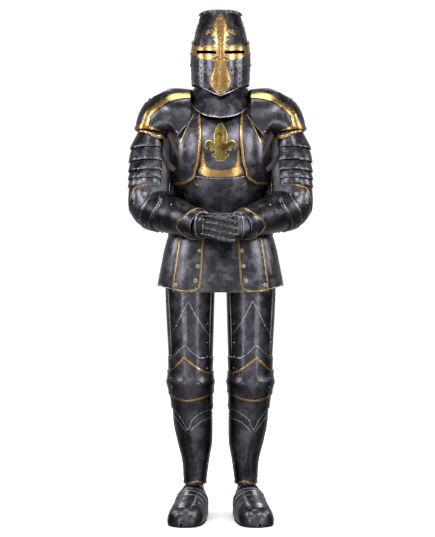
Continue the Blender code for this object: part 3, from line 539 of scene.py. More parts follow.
def smooth_path(path, surface, lift, bend):
    """A path on a surface, at even steps: (points, ways out of the surface)."""
    path = np.array(path, float)
    rough = surface(path[:, 0], path[:, 1], lift)
    keys = np.concatenate([[0], np.cumsum(np.linalg.norm(np.diff(rough, axis=0), axis=1))])
    count = max(2, math.ceil(keys[-1] / RIBBON_STEP)) + 1
    t = np.unique(np.concatenate([np.linspace(0, keys[-1], count), keys]))
    if bend and len(path) > 2:
        found = smooth(keys, path, np.gradient(path, keys, axis=0), t)
    else:
        found = np.stack([np.interp(t, keys, path[:, 0]), np.interp(t, keys, path[:, 1])], axis=1)
    points = surface(found[:, 0], found[:, 1], lift)
    return points, unit(surface(found[:, 0], found[:, 1], lift + OUT) - points)


FLAT = ((-1, 0), (-1, 0.6), (-0.86, 0.92), (-0.4, 1.0), (0.4, 1.0), (0.86, 0.92), (1, 0.6), (1, 0))
ROUND = tuple((math.cos(a), 0.4 + math.sin(a)) for a in np.radians(np.arange(180, -180, -45)))


def ribbon(piece, surface, path, width, height, lift=0.0, look="brass", profile=FLAT, closed=False, bend=True,
           edge=None):
    """A band along a path on a surface. The edge is how far from an edge it all counts as being, if given."""
    points, out = smooth_path(path, surface, lift, bend)
    if closed:
        points, out = points[:-1], out[:-1]
        way = unit(np.roll(points, -1, axis=0) - np.roll(points, 1, axis=0))
    else:
        way = unit(np.gradient(points, axis=0))
    across = unit(np.cross(way, out))
    out = np.cross(across, way)
    profile = np.array(profile)
    rings = (
        points[:, None]
        + across[:, None] * profile[None, :, :1] * width / 2
        + out[:, None] * (profile[None, :, 1:] * height - SINK)
    )
    # How far from an edge each point of the profile counts; on steel and dark brass this sets the painted
    # edge highlight
    shine = (1 - np.abs(profile[:, 0])) * width / 2 if edge is None else np.full(len(profile), edge)
    loft(piece, rings, look, np.tile(shine, len(rings)), closed)


def loft(piece, rings, look, edge=0.02, closed=False):
    """A solid through rings of points, with its two ends closed unless it runs round."""
    rings = np.asarray(rings)
    count, around = rings.shape[:2]
    index = np.arange(count * around).reshape(count, around)
    index = np.concatenate([index, index[:, :1]], axis=1)
    if closed:
        index = np.concatenate([index, index[:1]])
    faces = quads(index[:-1, :-1], index[:-1, 1:], index[1:, 1:], index[1:, :-1])
    points = rings.reshape(-1, 3)
    turned = inside_out(points, faces, (rings - rings.mean(axis=1, keepdims=True)).reshape(-1, 3))
    if turned:
        faces = faces[:, ::-1]
    start = piece.count
    piece.add(points, faces, look, edge)
    if closed:
        return
    for ring, flip in ((0, turned), (count - 1, not turned)):
        fan = [(start + ring * around + i) for i in range(around)]
        piece.faces.append(fan if flip else fan[::-1])
        piece.looks.append(LOOKS.index(look))


# Columns: share of a rivet's radius, height as a share of it
RIVET_ROWS = ((1.38, 0.0), (1.38, 0.10), (1.04, 0.16), (0.96, 0.40), (0.72, 0.66), (0.36, 0.80), (0.06, 0.84))

# How far each row counts as being from an edge, so that the dome is painted bright, as a highlight and as
# rubbed wear, and the washer dark
RIVET_GLINT_AND_WEAR = (0.02, 0.02, 0.02, 0.0008, 0.0002, 0.0, 0.0)


def bead(piece, surface, path, width, height, lift, closed=False, bend=True, edge=0.0):
    """A round steel bead along a path on a surface, painted bright all over as a highlight and as rubbed
    wear.
    """
    ribbon(piece, surface, path, width, height, lift, "steel", ROUND, closed, bend, edge)


def rim(piece, surface, line, shift, ends, lift, count=61, size=(0.0030, 0.0011), bend=False):
    """A bead along the edge of a plate, where the line is one number or a function of the angle."""
    turns = np.linspace(*ends, count)
    bead(piece, surface, list(zip(turns, as_function(line)(turns) + shift)), *size, lift, bend=bend)


def rivets(piece, surface, spots, lift, radius=RIVET, look="steel"):
    """Domed heads, each with a narrow washer, at these measures of a surface."""
    spots = np.array(spots, float)
    here = surface(spots[:, 0], spots[:, 1], lift)
    out = unit(surface(spots[:, 0], spots[:, 1], lift + OUT) - here)
    turns = np.radians(np.arange(0, 360, 30))
    for point, way in zip(here, out):
        side = unit(np.cross(way, (0.31, 0.2, 0.93)))
        up = np.cross(way, side)
        circle = np.cos(turns)[:, None] * side + np.sin(turns)[:, None] * up
        rows = [point + circle * radius * wide + way * (radius * high - SINK) for wide, high in RIVET_ROWS]
        loft(piece, rows, look, np.repeat(RIVET_GLINT_AND_WEAR, len(turns)))


def inlay(piece, surface, outline, grain, lift, look="brass", wall=BRASS_WALL, holes=(), relief=None):
    """A flat design with this outline, laid on a surface. The grain is the largest step in each measure."""
    grain = np.array(grain)
    loops = [refined(np.array(loop, float) / grain) for loop in (outline, *holes)]
    shape = loops[0]
    xs, ys = (np.arange(np.ceil(low), high) for low, high in zip(shape.min(axis=0), shape.max(axis=0)))
    edges = np.concatenate(loops)
    inside = np.array([
        (x, y)
        for x in xs
        for y in ys
        if np.hypot(edges[:, 0] - x, edges[:, 1] - y).min() > 0.4
    ]).reshape(-1, 2)
    inside = inside[within(loops, inside)]
    starts = np.cumsum([0] + [len(loop) for loop in loops])
    borders = [
        (start + i, start + (i + 1) % len(loop))
        for start, loop in zip(starts, loops)
        for i in range(len(loop))
    ]
    placed, _, triangles, *_ = delaunay_2d_cdt([Vector(p) for p in (*edges, *inside)], borders, [], 0, 1e-6)
    placed = np.array([tuple(p) for p in placed])
    faces = np.array(triangles)
    faces = faces[within(loops, placed[faces].mean(axis=1))]
    used, faces = np.unique(faces, return_inverse=True)
    faces = faces.reshape(-1, 3)
    placed = placed[used]
    u, v = placed.T * grain[:, None]
    sides = np.concatenate([faces[:, [0, 1]], faces[:, [1, 2]], faces[:, [2, 0]]])
    known = {tuple(pair) for pair in sides.tolist()}
    open_sides = np.array([pair for pair in sides.tolist() if (pair[1], pair[0]) not in known])
    rise = lift + (relief(u, v) if relief else 0.0) + 0 * u
    outer, inner = surface(u, v, rise + wall), surface(u, v, rise)
    apart = np.full(len(placed), 9.0)
    on_rim = np.unique(open_sides)
    outline_only = on_rim[[np.hypot(*(loops[0] - placed[i]).T).min() < 0.01 for i in on_rim]]
    for start in range(0, len(placed), 500):
        apart[start : start + 500] = np.linalg.norm(
            outer[start : start + 500, None] - outer[None, outline_only], axis=2
        ).min(axis=1)
    outer[on_rim] = surface(u[on_rim], v[on_rim], (rise + wall * 0.8)[on_rim])
    count = len(placed)
    first, last = open_sides.T
    walls = np.stack([last, first, first + count, last + count], axis=1)
    if inside_out(outer, faces, outer - inner):
        faces, walls = faces[:, ::-1], walls[:, ::-1]
    start = piece.count
    piece.add(np.concatenate([outer, inner]), faces, look, np.concatenate([apart, apart]))
    piece.faces += (faces[:, ::-1] + count + start).tolist() + (walls + start).tolist()
    piece.looks += [LOOKS.index(look)] * (len(faces) + len(walls))


def refined(loop):
    """The loop with each side cut into steps of about 1."""
    found = []
    for start, end in zip(loop, np.roll(loop, -1, axis=0)):
        steps = max(1, math.ceil(np.hypot(*(end - start)) - 0.25))
        found += [start + (end - start) * i / steps for i in range(steps)]
    return np.array(found)


def within(loops, spots):
    """Whether each spot lies inside an odd number of the loops."""
    crossings = np.zeros(len(spots), int)
    x, y = spots[:, :1], spots[:, 1:]
    for loop in loops:
        after = np.roll(loop, -1, axis=0)
        spans = (loop[:, 1] > y) != (after[:, 1] > y)
        rise = np.where(after[:, 1] == loop[:, 1], 1.0, after[:, 1] - loop[:, 1])
        crossing = loop[:, 0] + (after[:, 0] - loop[:, 0]) * (y - loop[:, 1]) / rise
        crossings += np.sum(spans & (x < crossing), axis=1)
    return crossings % 2 == 1


def rounded(loop):
    """The loop with its corners cut off twice."""
    loop = np.array(loop, float)
    for share in (0.28, 0.25):
        after = np.roll(loop, -1, axis=0)
        pair = loop * (1 - share) + after * share, loop * share + after * (1 - share)
        loop = np.stack(pair, axis=1).reshape(-1, 2)
    return loop


def mirrored(half):
    """The whole outline from its half, which starts and ends on the middle line."""
    return half + [(-x, y) for x, y in half[-2:0:-1]]


def both(spots):
    """The spots, and the same on the other side of the middle line."""
    return [*spots, *[(-a, t) for a, t in spots if a]]


def bent(xs, ys):
    """A function that runs through these points in straight lines."""
    return lambda value: np.interp(value, xs, ys)


def curved(xs, ys):
    """A function that runs smoothly through these points."""
    xs, ys = np.array(xs, float), np.array(ys, float)
    slopes = np.gradient(ys, xs)
    return lambda x: smooth(xs, ys, slopes, x)


def even(function):
    """The function of an angle's distance from the front."""
    return lambda angle: function(np.abs((angle + 180) % 360 - 180))


def ridge(middle, width, height, low=-9.0, high=9.0, fade=0.03):
    """A relief: a crease that stands out along the limb, from the low place to the high one."""

    def relief(angle, t):
        off = np.abs((angle - (middle(t) if callable(middle) else middle) + 180) % 360 - 180) / width
        ends = np.clip((t - low) / fade, 0, 1) * np.clip((high - t) / fade, 0, 1)
        return height * np.clip(1 - off, 0, 1) ** 1.5 * ends

    return relief


def together(*reliefs):
    return lambda angle, t: sum(relief(angle, t) for relief in reliefs)


class Nodes:
    """A short way to write a material's nodes."""

    def __init__(self, name):
        self.material = bpy.data.materials.new(name)
        self.material.use_nodes = True
        self.tree = self.material.node_tree
        self.shader = self.tree.nodes["Principled BSDF"]
        self.place = self.make("TexCoord").outputs["Object"]
        self.edge = self.make("Attribute", attribute_name="edge").outputs["Fac"]

    def make(self, kind, inputs=(), **settings):
        node = self.tree.nodes.new("ShaderNode" + kind)
        for name, value in settings.items():
            setattr(node, name, value)
        for name, value in dict(inputs).items():
            self.set(node.inputs[name], value)
        return node

    def set(self, socket, value):
        if isinstance(value, bpy.types.NodeSocket):
            self.tree.links.new(value, socket)
        else:
            socket.default_value = value

    def stretched(self, size):
        return self.make("Mapping", {"Vector": self.place, "Scale": size}).outputs["Vector"]

    def noise(self, scale, detail=3.0, rough=0.55, place=None):
        inputs = {"Vector": place or self.place, "Scale": scale, "Detail": detail, "Roughness": rough}
        return self.make("TexNoise", inputs).outputs["Fac"]

    def span(self, value, low, high, to_low=0.0, to_high=1.0):
        inputs = {"Value": value, "From Min": low, "From Max": high, "To Min": to_low, "To Max": to_high}
        return self.make("MapRange", inputs, interpolation_type="SMOOTHSTEP").outputs["Result"]

    def math(self, kind, first, second=0.0):
        return self.make("Math", {0: first, 1: second}, operation=kind).outputs[0]

    def mix(self, share, first, second):
        node = self.make("Mix", {"Factor": share}, data_type="RGBA")
        for socket, value in ((node.inputs[6], first), (node.inputs[7], second)):
            self.set(socket, value if isinstance(value, bpy.types.NodeSocket) else (*value, 1.0))
        return node.outputs[2]

    def bump(self, height, distance, strength=1.0, after=None):
        inputs = {"Height": height, "Distance": distance, "Strength": strength}
        if after:
            inputs["Normal"] = after
        return self.make("Bump", inputs).outputs["Normal"]

    def finish(self, **inputs):
        for name, value in inputs.items():
            self.set(self.shader.inputs[name.replace("_", " ")], value)
        return self.material


def steel():
    """Blackened, polished plate: mottled tone, fine scratches, hammered dents, and a worn edge that is also
    painted bright as an edge highlight.
    """
    n = Nodes("dark_steel")
    broad = n.noise(9.0, 4.0, 0.6)
    cloud = n.noise(28.0, 4.0, 0.65)
    scratch = n.noise(1.0, 3.0, 0.7, n.stretched((700, 700, 60)))
    tone = n.mix(n.span(broad, 0.32, 0.68), (0.038, 0.037, 0.045), (0.084, 0.081, 0.096))
    tone = n.mix(n.span(cloud, 0.44, 0.68, 0.0, 0.7), tone, (0.145, 0.139, 0.160))
    # Near an edge the tone is lightened towards bright steel: partly rubbed wear, partly a painted edge
    # highlight
    wear_and_edge_glint = n.math("MULTIPLY", n.span(n.edge, 0.0001, 0.0011, 1.0, 0.0), n.span(cloud, 0.25, 0.6, 0.35, 1.0))
    tone = n.mix(wear_and_edge_glint, tone, (0.50, 0.49, 0.52))
    rough = n.math("ADD", n.span(cloud, 0.3, 0.7, 0.20, 0.34), n.span(scratch, 0.4, 0.7, 0.0, 0.05))
    hammered = n.bump(n.noise(11.0, 2.0, 0.45), 0.006, 0.5)
    dents = n.bump(n.noise(48.0, 2.0, 0.5), 0.0006, 0.3, hammered)
    fine = n.bump(scratch, 0.00005, 0.5, dents)
    return n.finish(Base_Color=tone, Metallic=1.0, Roughness=rough, Normal=fine)


def brass():
    """Satin brass: warmer and darker in the hollows and along the edges."""
    n = Nodes("aged_brass")
    broad = n.noise(14.0, 4.0, 0.6)
    fine = n.noise(90.0, 3.0, 0.6)
    tone = n.mix(n.span(broad, 0.35, 0.65), (0.33, 0.195, 0.066), (0.47, 0.295, 0.115))
    tone = n.mix(n.span(fine, 0.55, 0.75, 0.0, 0.25), tone, (0.30, 0.16, 0.045))
    tone = n.mix(n.span(n.edge, 0.0002, 0.0010, 0.55, 0.0), tone, (0.20, 0.10, 0.028))
    rough = n.span(fine, 0.3, 0.7, 0.18, 0.32)
    normal = n.bump(n.noise(16.0, 2.0, 0.4), 0.0022, 0.35)
    normal = n.bump(n.noise(1.0, 3.0, 0.7, n.stretched((600, 600, 90))), 0.00005, 0.6, normal)
    return n.finish(Base_Color=tone, Metallic=1.0, Roughness=rough, Normal=normal)


def dark_brass():
    """Olive, tarnished brass with a painted highlight along its edges."""
    n = Nodes("tarnished_brass")
    broad = n.noise(26.0, 4.0, 0.6)
    tone = n.mix(n.span(broad, 0.35, 0.65), (0.075, 0.055, 0.014), (0.19, 0.140, 0.036))
    # Painted highlight: within about 2 mm of an edge the tone is lightened to pale gold
    tone = n.mix(n.span(n.edge, 0.0004, 0.0018, 1.0, 0.0), tone, (0.78, 0.60, 0.24))
    rough = n.span(broad, 0.3, 0.7, 0.24, 0.40)
    return n.finish(Base_Color=tone, Metallic=1.0, Roughness=rough, Normal=n.bump(broad, 0.002, 0.5))


def leather(name, dark, light):
    n = Nodes(name)
    broad = n.noise(30.0, 4.0, 0.6)
    cells = n.make("TexVoronoi", {"Vector": n.place, "Scale": 900.0}, feature="DISTANCE_TO_EDGE")
    tone = n.mix(n.span(broad, 0.35, 0.7), dark, light)
    tone = n.mix(n.span(n.edge, 0.0003, 0.0022, 0.6, 0.0), tone, tuple(c * 0.35 for c in dark))
    normal = n.bump(n.span(cells.outputs["Distance"], 0.0, 0.25), 0.0002, 0.7)
    return n.finish(Base_Color=tone, Roughness=n.span(broad, 0.3, 0.7, 0.62, 0.8), Normal=normal)


def cloth():
    """A close linen weave with faint soiling."""
    n = Nodes("arming_cloth_weave")
    broad = n.noise(22.0, 4.0, 0.6)
    thread = {"Vector": n.place, "Scale": 260.0, "Distortion": 1.2, "Detail": 1.0}
    weft = n.make("TexWave", thread, bands_direction="Z")
    warp = n.make("TexWave", thread, bands_direction="DIAGONAL")
    weave = n.math("MULTIPLY", weft.outputs["Fac"], warp.outputs["Fac"])
    tone = n.mix(n.span(broad, 0.3, 0.7), (0.095, 0.105, 0.115), (0.20, 0.215, 0.230))
    tone = n.mix(n.span(weave, 0.0, 0.5, 0.35, 0.0), tone, (0.055, 0.060, 0.066))
    return n.finish(Base_Color=tone, Roughness=0.92, Normal=n.bump(weave, 0.0004, 0.6))


MATERIALS = {
    "steel": steel(),
    "brass": brass(),
    "dark_brass": dark_brass(),
    "leather": leather("strap_leather", (0.020, 0.009, 0.005), (0.062, 0.028, 0.015)),
    "arming_cloth": cloth(),
    "sole_leather": leather("sole_leather_dark", (0.006, 0.0055, 0.005), (0.020, 0.018, 0.016)),
}


HELM_FRONT = ridge(0, 9, -0.0017)  # rounds the keel down the middle of the helm's front


def on_helm(angle, t, lift):
    return HELM(angle, t, lift + HELM_FRONT(angle, t))


def build_helm():
    crown = skin("helm_crown", body="helm")
    crown_low = even(bent((0, SLIT_ANGLE, SLIT_ANGLE + 2, 180), (1.7020, 1.7180, 1.688, 1.688)))
    plate(crown, HELM, (0, 360), (crown_low, HELM_TOP), relief=HELM_FRONT)
    crown.build()
    face = skin("helm_face", body="helm")
    low = even(curved((0, 10, 40, 62, 76, 90), (1.541, 1.549, 1.577, 1.594, 1.600, 1.602)))
    corners = (0, SLIT_ANGLE, SLIT_ANGLE + 2, FACE_ANGLE)
    high = even(bent(corners, (1.6990 - SLIT_HEIGHT, 1.7150 - SLIT_HEIGHT, 1.724, 1.724)))
    angles = np.linspace(-FACE_ANGLE, FACE_ANGLE, 41)
    outline = [*zip(angles, low(angles)), *zip(angles[::-1], high(angles[::-1]))]
    turns = np.radians(np.arange(0, 360, 36))
    holes = [
        [(side * angle + 1.75 * math.cos(a), height + 0.0033 * math.sin(a)) for a in turns]
        for angle, height in BREATH_HOLES for side in (-1, 1)
    ]
    inlay(face, on_helm, outline, (3.0, 0.006), LAYER, "steel", WALL, holes)
    rim(face, on_helm, low, 0.001, (1 - FACE_ANGLE, FACE_ANGLE - 1), LAYER + 0.0012, 41, ROLLED, True)
    face.build()
    back = skin("helm_back", body="helm")
    seam = math.degrees(SEAM / 0.105)
    plate(back, HELM, (FACE_ANGLE + seam, 360 - FACE_ANGLE - seam), (1.600, 1.724), LAYER)
    rim(back, HELM, 1.601, 0.0, (FACE_ANGLE + 1, 359 - FACE_ANGLE), LAYER + 0.0012, 41, ROLLED, True)
    rivets(back, HELM, [(a, 1.716) for a in range(100, 261, 20)], LAYER + WALL, SMALL_RIVET)
    rivets(back, HELM, [(a, z) for a in (84, 276) for z in (1.625, 1.655)], LAYER + WALL, SMALL_RIVET)
    back.build()
    lid = skin("helm_top", body="helm")
    angles = np.linspace(0, 360, 96, endpoint=False)
    rings = []
    for height, out in LID_EDGE:
        ring = HELM(angles, HELM_TOP, out)
        ring[:, 2] = HELM_TOP + height
        rings.append(ring)
    middle = np.array((0.0, 0.0, HELM_TOP))
    for share in (0.9, 0.75, 0.6, 0.45, 0.3, 0.15, 0.03):
        ring = middle + (rings[6] - middle) * share
        ring[:, 2] = HELM_TOP + 0.0029 + 0.0044 * (1 - share**2)
        rings.append(ring)
    # The lid's rim rows count as edge, so they take the painted edge highlight and the rubbed wear
    loft(lid, rings, "steel", np.repeat([0.0, 0.0, 0.0005, 0.004, 0.0, 0.0, 0.001] + [0.02] * 7, 96))
    rivets(lid, HELM, [(a, HELM_TOP - 0.0045) for a in range(15, 360, 30)], LAYER + WALL, 0.0022)
    lid.build()
    build_helm_brass()
    dress_node("helm_liner", "leather")


def build_helm_brass():
    """The bar round the sights, the nose plate and the lily, with their rivets."""
    brow = skin("helm_brow", body="helm", slot="brass")
    edge = ((0, 1.7260), (40, 1.7290), (62, 1.7360), (70, 1.750), (76, 1.7640), (90, 1.7640))
    base = (
        (90, 1.6640), (76, 1.6640), (75, 1.7125), (70, 1.7060), (60, 1.6990), (45, 1.6860), (29, 1.6760),
        (20, 1.6735), (0, 1.6740)
    )
    outline = [*edge, *base] + [(-a, z) for a, z in base[-2::-1]] + [(-a, z) for a, z in edge[:0:-1]]
    sights = []
    for side in (-1, 1):
        angles = np.array((6.7, 20.0, 36.0, 52.0))
        top = 1.7005 + 0.016 * angles / SLIT_ANGLE
        low = [(side * a, z - SLIT_HEIGHT - 0.0014) for a, z in zip(angles, top)]
        sights.append(low + [(side * a, z + 0.0010) for a, z in zip(angles[::-1], top[::-1])])
    inlay(brow, on_helm, outline, (3.0, 0.006), 2 * LAYER, holes=sights)
    rivets(brow, on_helm, BROW_RIVETS, 2 * LAYER + BRASS_WALL, BRASS_RIVET)
    brow.build()
    nasal = skin("helm_nasal", body="helm", slot="brass")
    half_angle = curved(
        (1.545, 1.556, 1.570, 1.590, 1.612, 1.640, 1.6605, 1.6732),
        (0.8, 9.0, 16.0, 19.5, 17.0, 11.6, 11.6, 15.0)
    )
    plate(
        nasal, HELM, (lambda t: -half_angle(t), half_angle), (1.545, 1.6732), 2 * LAYER, BRASS_WALL,
        HELM_FRONT, "brass", 0.004, (0.5,)
    )
    rivets(nasal, on_helm, NASAL_RIVETS, 2 * LAYER + BRASS_WALL, BRASS_RIVET)
    nasal.build()
    lily = skin("helm_ornament", body="helm", slot="brass")

    def laid(x, z, lift):
        return on_helm(np.degrees(1.18 * x / 0.082), 1.7275 + 1.06 * z, lift)

    inlay(lily, laid, rounded(mirrored(HELM_LILY)), (0.003, 0.003), LAYER)
    rivets(
        lily, laid, both([(0, 0.092), (0, 0.022), (0.017, 0.0175), (0.0315, 0.051)]), LAYER + BRASS_WALL,
        BRASS_RIVET
    )
    lily.build()


def build_gorget():
    collar = skin("gorget_collar")
    heights = np.concatenate([[COLLAR_TOP], np.linspace(COLLAR_TOP - 0.0009, 1.5709, 12), [1.570]])
    radii = np.interp(
        -heights, (-COLLAR_TOP, -1.612, -1.590, -1.570), (COLLAR_RADIUS, COLLAR_RADIUS, 0.083, 0.090)
    )
    angles = np.radians(np.linspace(0, 360, 72, endpoint=False))
    ways = np.stack([np.sin(angles), -np.cos(angles), 0 * angles], axis=1)
    inner = ways[None] * radii[:, None, None] + np.array((0, 0, 1.0)) * heights[:, None, None]
    down = np.zeros(len(heights))
    down[[0, -1]] = CHAMFER
    sheet(collar, inner + ways[None] * (WALL - down)[:, None, None], inner, True)
    collar.build()
    front = skin("gorget_front")
    low = even(curved((0, 20, 45, 70, 92), (1.458, 1.468, 1.502, 1.545, 1.560)))
    plate(front, GORGET, (-89.85, 89.85), (low, 1.606), LAYER)
    rim(front, GORGET, low, 0.001, (-89, 89), LAYER + 0.0012, 61, (2.4 * BEAD, 1.1 * BEAD), True)
    front.build()
    back = skin("gorget_back")
    low = curved((90, 130, 180, 230, 270), (1.560, 1.548, 1.535, 1.548, 1.560))
    plate(back, GORGET, (90.15, 269.85), (low, 1.606), LAYER)
    rim(back, GORGET, low, 0.001, (91, 269), LAYER + 0.0012, 61, (2.4 * BEAD, 1.1 * BEAD), True)
    rivets(back, GORGET, [(a, 1.582) for a in (98, 262)], LAYER + WALL, SMALL_RIVET)
    back.build()


def build_torso():
    plackart = skin("plackart")
    plate(plackart, TORSO, (-92, 92), (1.086, 1.300), relief=ridge(0, 6, 0.0006))
    plackart.build()
    breast = skin("breastplate")
    turns = (0, 30, 36, 40, 47, 54.5, 62, 70, 80, 90)
    high = even(curved(turns, (NECK_Z, NECK_Z, 1.499, 1.482, 1.430, 1.382, 1.349, 1.325, 1.308, 1.300)))
    low = even(curved((0, 24, 40, 90), (1.240, 1.248, 1.262, 1.262)))
    plate(breast, TORSO, (-89.85, 89.85), (low, high), LAYER, relief=ridge(0, 5, 0.0012), fixed=(0.5,))
    rim(breast, TORSO, low, 0.001, (-89, 89), LAYER + 0.0014, 61, ROLLED, True)
    breast.build()
    back = skin("backplate")
    high = curved(
        (90, 110, 125, 140, 180, 220, 235, 250, 270),
        (1.300, 1.330, 1.400, 1.515, 1.548, 1.515, 1.400, 1.330, 1.300)
    )
    plate(
        back, TORSO, (92.3, 267.7), (WAIST_TOP + 0.004, high),
        relief=together(
            ridge(180, 7, -0.0030, 1.14, 1.50, 0.05), ridge(158, 16, 0.0030, 1.20, 1.50, 0.10),
            ridge(202, 16, 0.0030, 1.20, 1.50, 0.10)
        )
    )
    rivets(back, TORSO, [(a, t) for a in (97, 263) for t in (1.15, 1.28)], WALL, 0.0030)
    waist = [(a, 1.175) for a in np.linspace(94, 266, 41)]
    ribbon(back, TORSO, waist, 0.005, 0.0012, WALL - SINK, "steel", edge=0.002)
    back.build()
    for side in (-1, 1):
        build_chest_side(side)
    band = skin("breast_band", slot="brass")
    outline = [
        (0, 1.246), (14, 1.250), (23, 1.262), (24, 1.272), (21.3, 1.284), (20, 1.300), (19.4, 1.340),
        (18.4, 1.344), (16.8, 1.338), (16.4, 1.300), (14.5, 1.284), (8, 1.274), (0, 1.270)
    ]
    inlay(band, TORSO, mirrored(outline), (2.2, 0.006), 2 * LAYER)
    band.build()
    lily = skin("breast_ornament", slot="brass")

    def laid(x, z, lift):
        return TORSO(np.degrees(x / 0.190), 1.302 + 0.9 * z, lift)

    inlay(
        lily, laid, rounded(mirrored(BREAST_LILY)), (0.003, 0.003), 2 * LAYER, "dark_brass",
        relief=lambda x, z: 0.0012 * np.clip(1 - np.abs(x) / 0.012, 0, 1)
    )
    lily.build()


def build_chest_side(side):
    """The drop-shaped plate beside the middle panel, with its brass edgings and the strap under the arm."""
    panel = skin("pectoral", side)
    lift = 2 * LAYER + 0.0019
    inner = curved((1.226, 1.2327, 1.2758, 1.3405, 1.4135, 1.488), (46, 38.5, 26.7, 21.6, 21.4, 27))
    outer = bent((1.226, 1.300, 1.325, 1.382, 1.488), (83, 83, 67, 53.0, 36.5))
    plate(panel, TORSO, (inner, outer), (1.226, 1.488), lift)
    panel.build()
    trim = extra("pectoral_trim", side, "brass")
    heights = np.linspace(1.488, 1.2275, 30)
    inside = [(float(inner(t)) + 0.9, t) for t in heights] + [(53, 1.2295), (66, 1.2295), (81, 1.2330)]
    ribbon(trim, TORSO, inside, 0.0095, 0.0017, lift + WALL, bend=False)
    ribbon(
        trim, TORSO, [(36.0, 1.474), (38.5, 1.452), (44.5, 1.410), (50.0, 1.375)], 0.0085, 0.0017,
        lift + WALL
    )
    ribbon(trim, TORSO, [(29.5, 1.2262), (26.5, 1.2200), (24.5, 1.2170)], 0.006, 0.0016, WALL, bend=False)
    trim.build()
    strap = skin("side_strap", side, slot="leather")
    plate(strap, TORSO, (82, 99), (1.205, 1.222), LAYER - 0.0004, WALL, look="leather", step=0.004)
    buckle = [(87, 1.2028), (87, 1.2242), (90.5, 1.2242), (90.5, 1.2028)]
    bead(strap, TORSO, buckle, 0.002, 0.002, LAYER + WALL, True, False)
    rivets(strap, TORSO, [(84, 1.2135), (96.5, 1.2135)], LAYER + WALL, 0.0026)
    strap.build()


def build_skirt():
    fauld = skin("fauld")
    base = LAYER + 0.0011
    edges = (WAIST_TOP, 1.092, 1.066, WAIST_LOW)
    for number, (top, low) in enumerate(zip(edges[:-1], edges[1:])):
        flare = 0.0012 if number < 2 else 0.0
        tuck = 0.0009 if number else 0.0
        plate(
            fauld, SKIRT, (0, 360), (low, top + (0.004 if number else 0)),
            lambda share: base + flare * (1 - share) - tuck * share, 0.0018
        )
    rivets(
        fauld, SKIRT, [(a, z) for a in (78, 90, 270, 282) for z in (1.053, 1.079, 1.105)], base + 0.003,
        0.0028
    )
    fauld.build()
    front = skin("skirt_front")
    plate(front, SKIRT, (-25, 25), (SKIRT_LOW - 0.002, 1.052))
    front.build()
    back = skin("skirt_back")
    plate(back, SKIRT, (118, 242), (0.846, 1.052))
    for angle in (122, 238):
        ribbon(back, SKIRT, [(angle, 0.850), (angle, 1.040)], 0.004, 0.0012, WALL, "brass", bend=False)
    ribbon(back, SKIRT, [(a, 0.8475) for a in np.linspace(119, 241, 41)], 0.005, 0.0013, WALL, "brass")
    rivets(back, SKIRT, [(a, z) for a in (127, 233) for z in (0.87, 0.93, 0.99)], WALL)
    back.build()
    seam = math.degrees(SEAM / 0.19)
    for side in (-1, 1):
        wing = skin("skirt_side", side)
        low = bent((25, 46, 75, 118), (0.842, 0.842, 0.858, 0.850))
        plate(wing, SKIRT, (25 + seam, 118 - seam), (low, 1.052))
        rim(wing, SKIRT, low, 0.001, (46, 117), WALL - 0.0004, 31, (0.0045, 0.0012), True)
        rivets(wing, SKIRT, [(74, 0.883), (104, 0.870), (104, 0.93), (104, 0.99)], WALL)
        wing.build()
        build_tasset(side)


def build_tasset(side):
    """The panel over the thigh, edged with brass on three sides."""
    tasset = skin("tasset", side)
    low = curved((16.5, 17.5, 20, 25, 33, 46), (0.862, 0.850, 0.841, 0.8345, 0.8335, 0.8385))
    plate(tasset, SKIRT, TASSET_ANGLES, (low, TASSET_TOP), LAYER)
    rivets(tasset, SKIRT, TASSET_RIVETS, LAYER + WALL, 0.0042)
    tasset.build()
    trim = extra("tasset_trim", side, "brass")
    across = np.linspace(17.0, 45.2, 24)
    path = [(17.0, 1.028), (17.0, 0.98), (17.0, 0.92), (17.0, 0.868)]
    path += [(a, float(low(a)) + 0.0022) for a in across[1:]]
    path += [(45.3, 0.90), (45.3, 0.96), (45.3, 1.030)]
    ribbon(trim, SKIRT, path, 0.0056, 0.0016, LAYER + WALL, "dark_brass", bend=False)
    for spot in TASSET_RIVETS:
        turns = np.linspace(0, 360, 16, endpoint=False)
        ring = [(spot[0] + 1.7 * math.sin(a), spot[1] + 0.0062 * math.cos(a)) for a in np.radians(turns)]
        ribbon(trim, SKIRT, ring, 0.0020, 0.0008, LAYER + WALL, "dark_brass", closed=True, bend=False)
    trim.build()


def build_arm(side):
    build_shoulder(side)
    build_gusset(side)
    build_upper_arm(side)
    build_elbow(side)


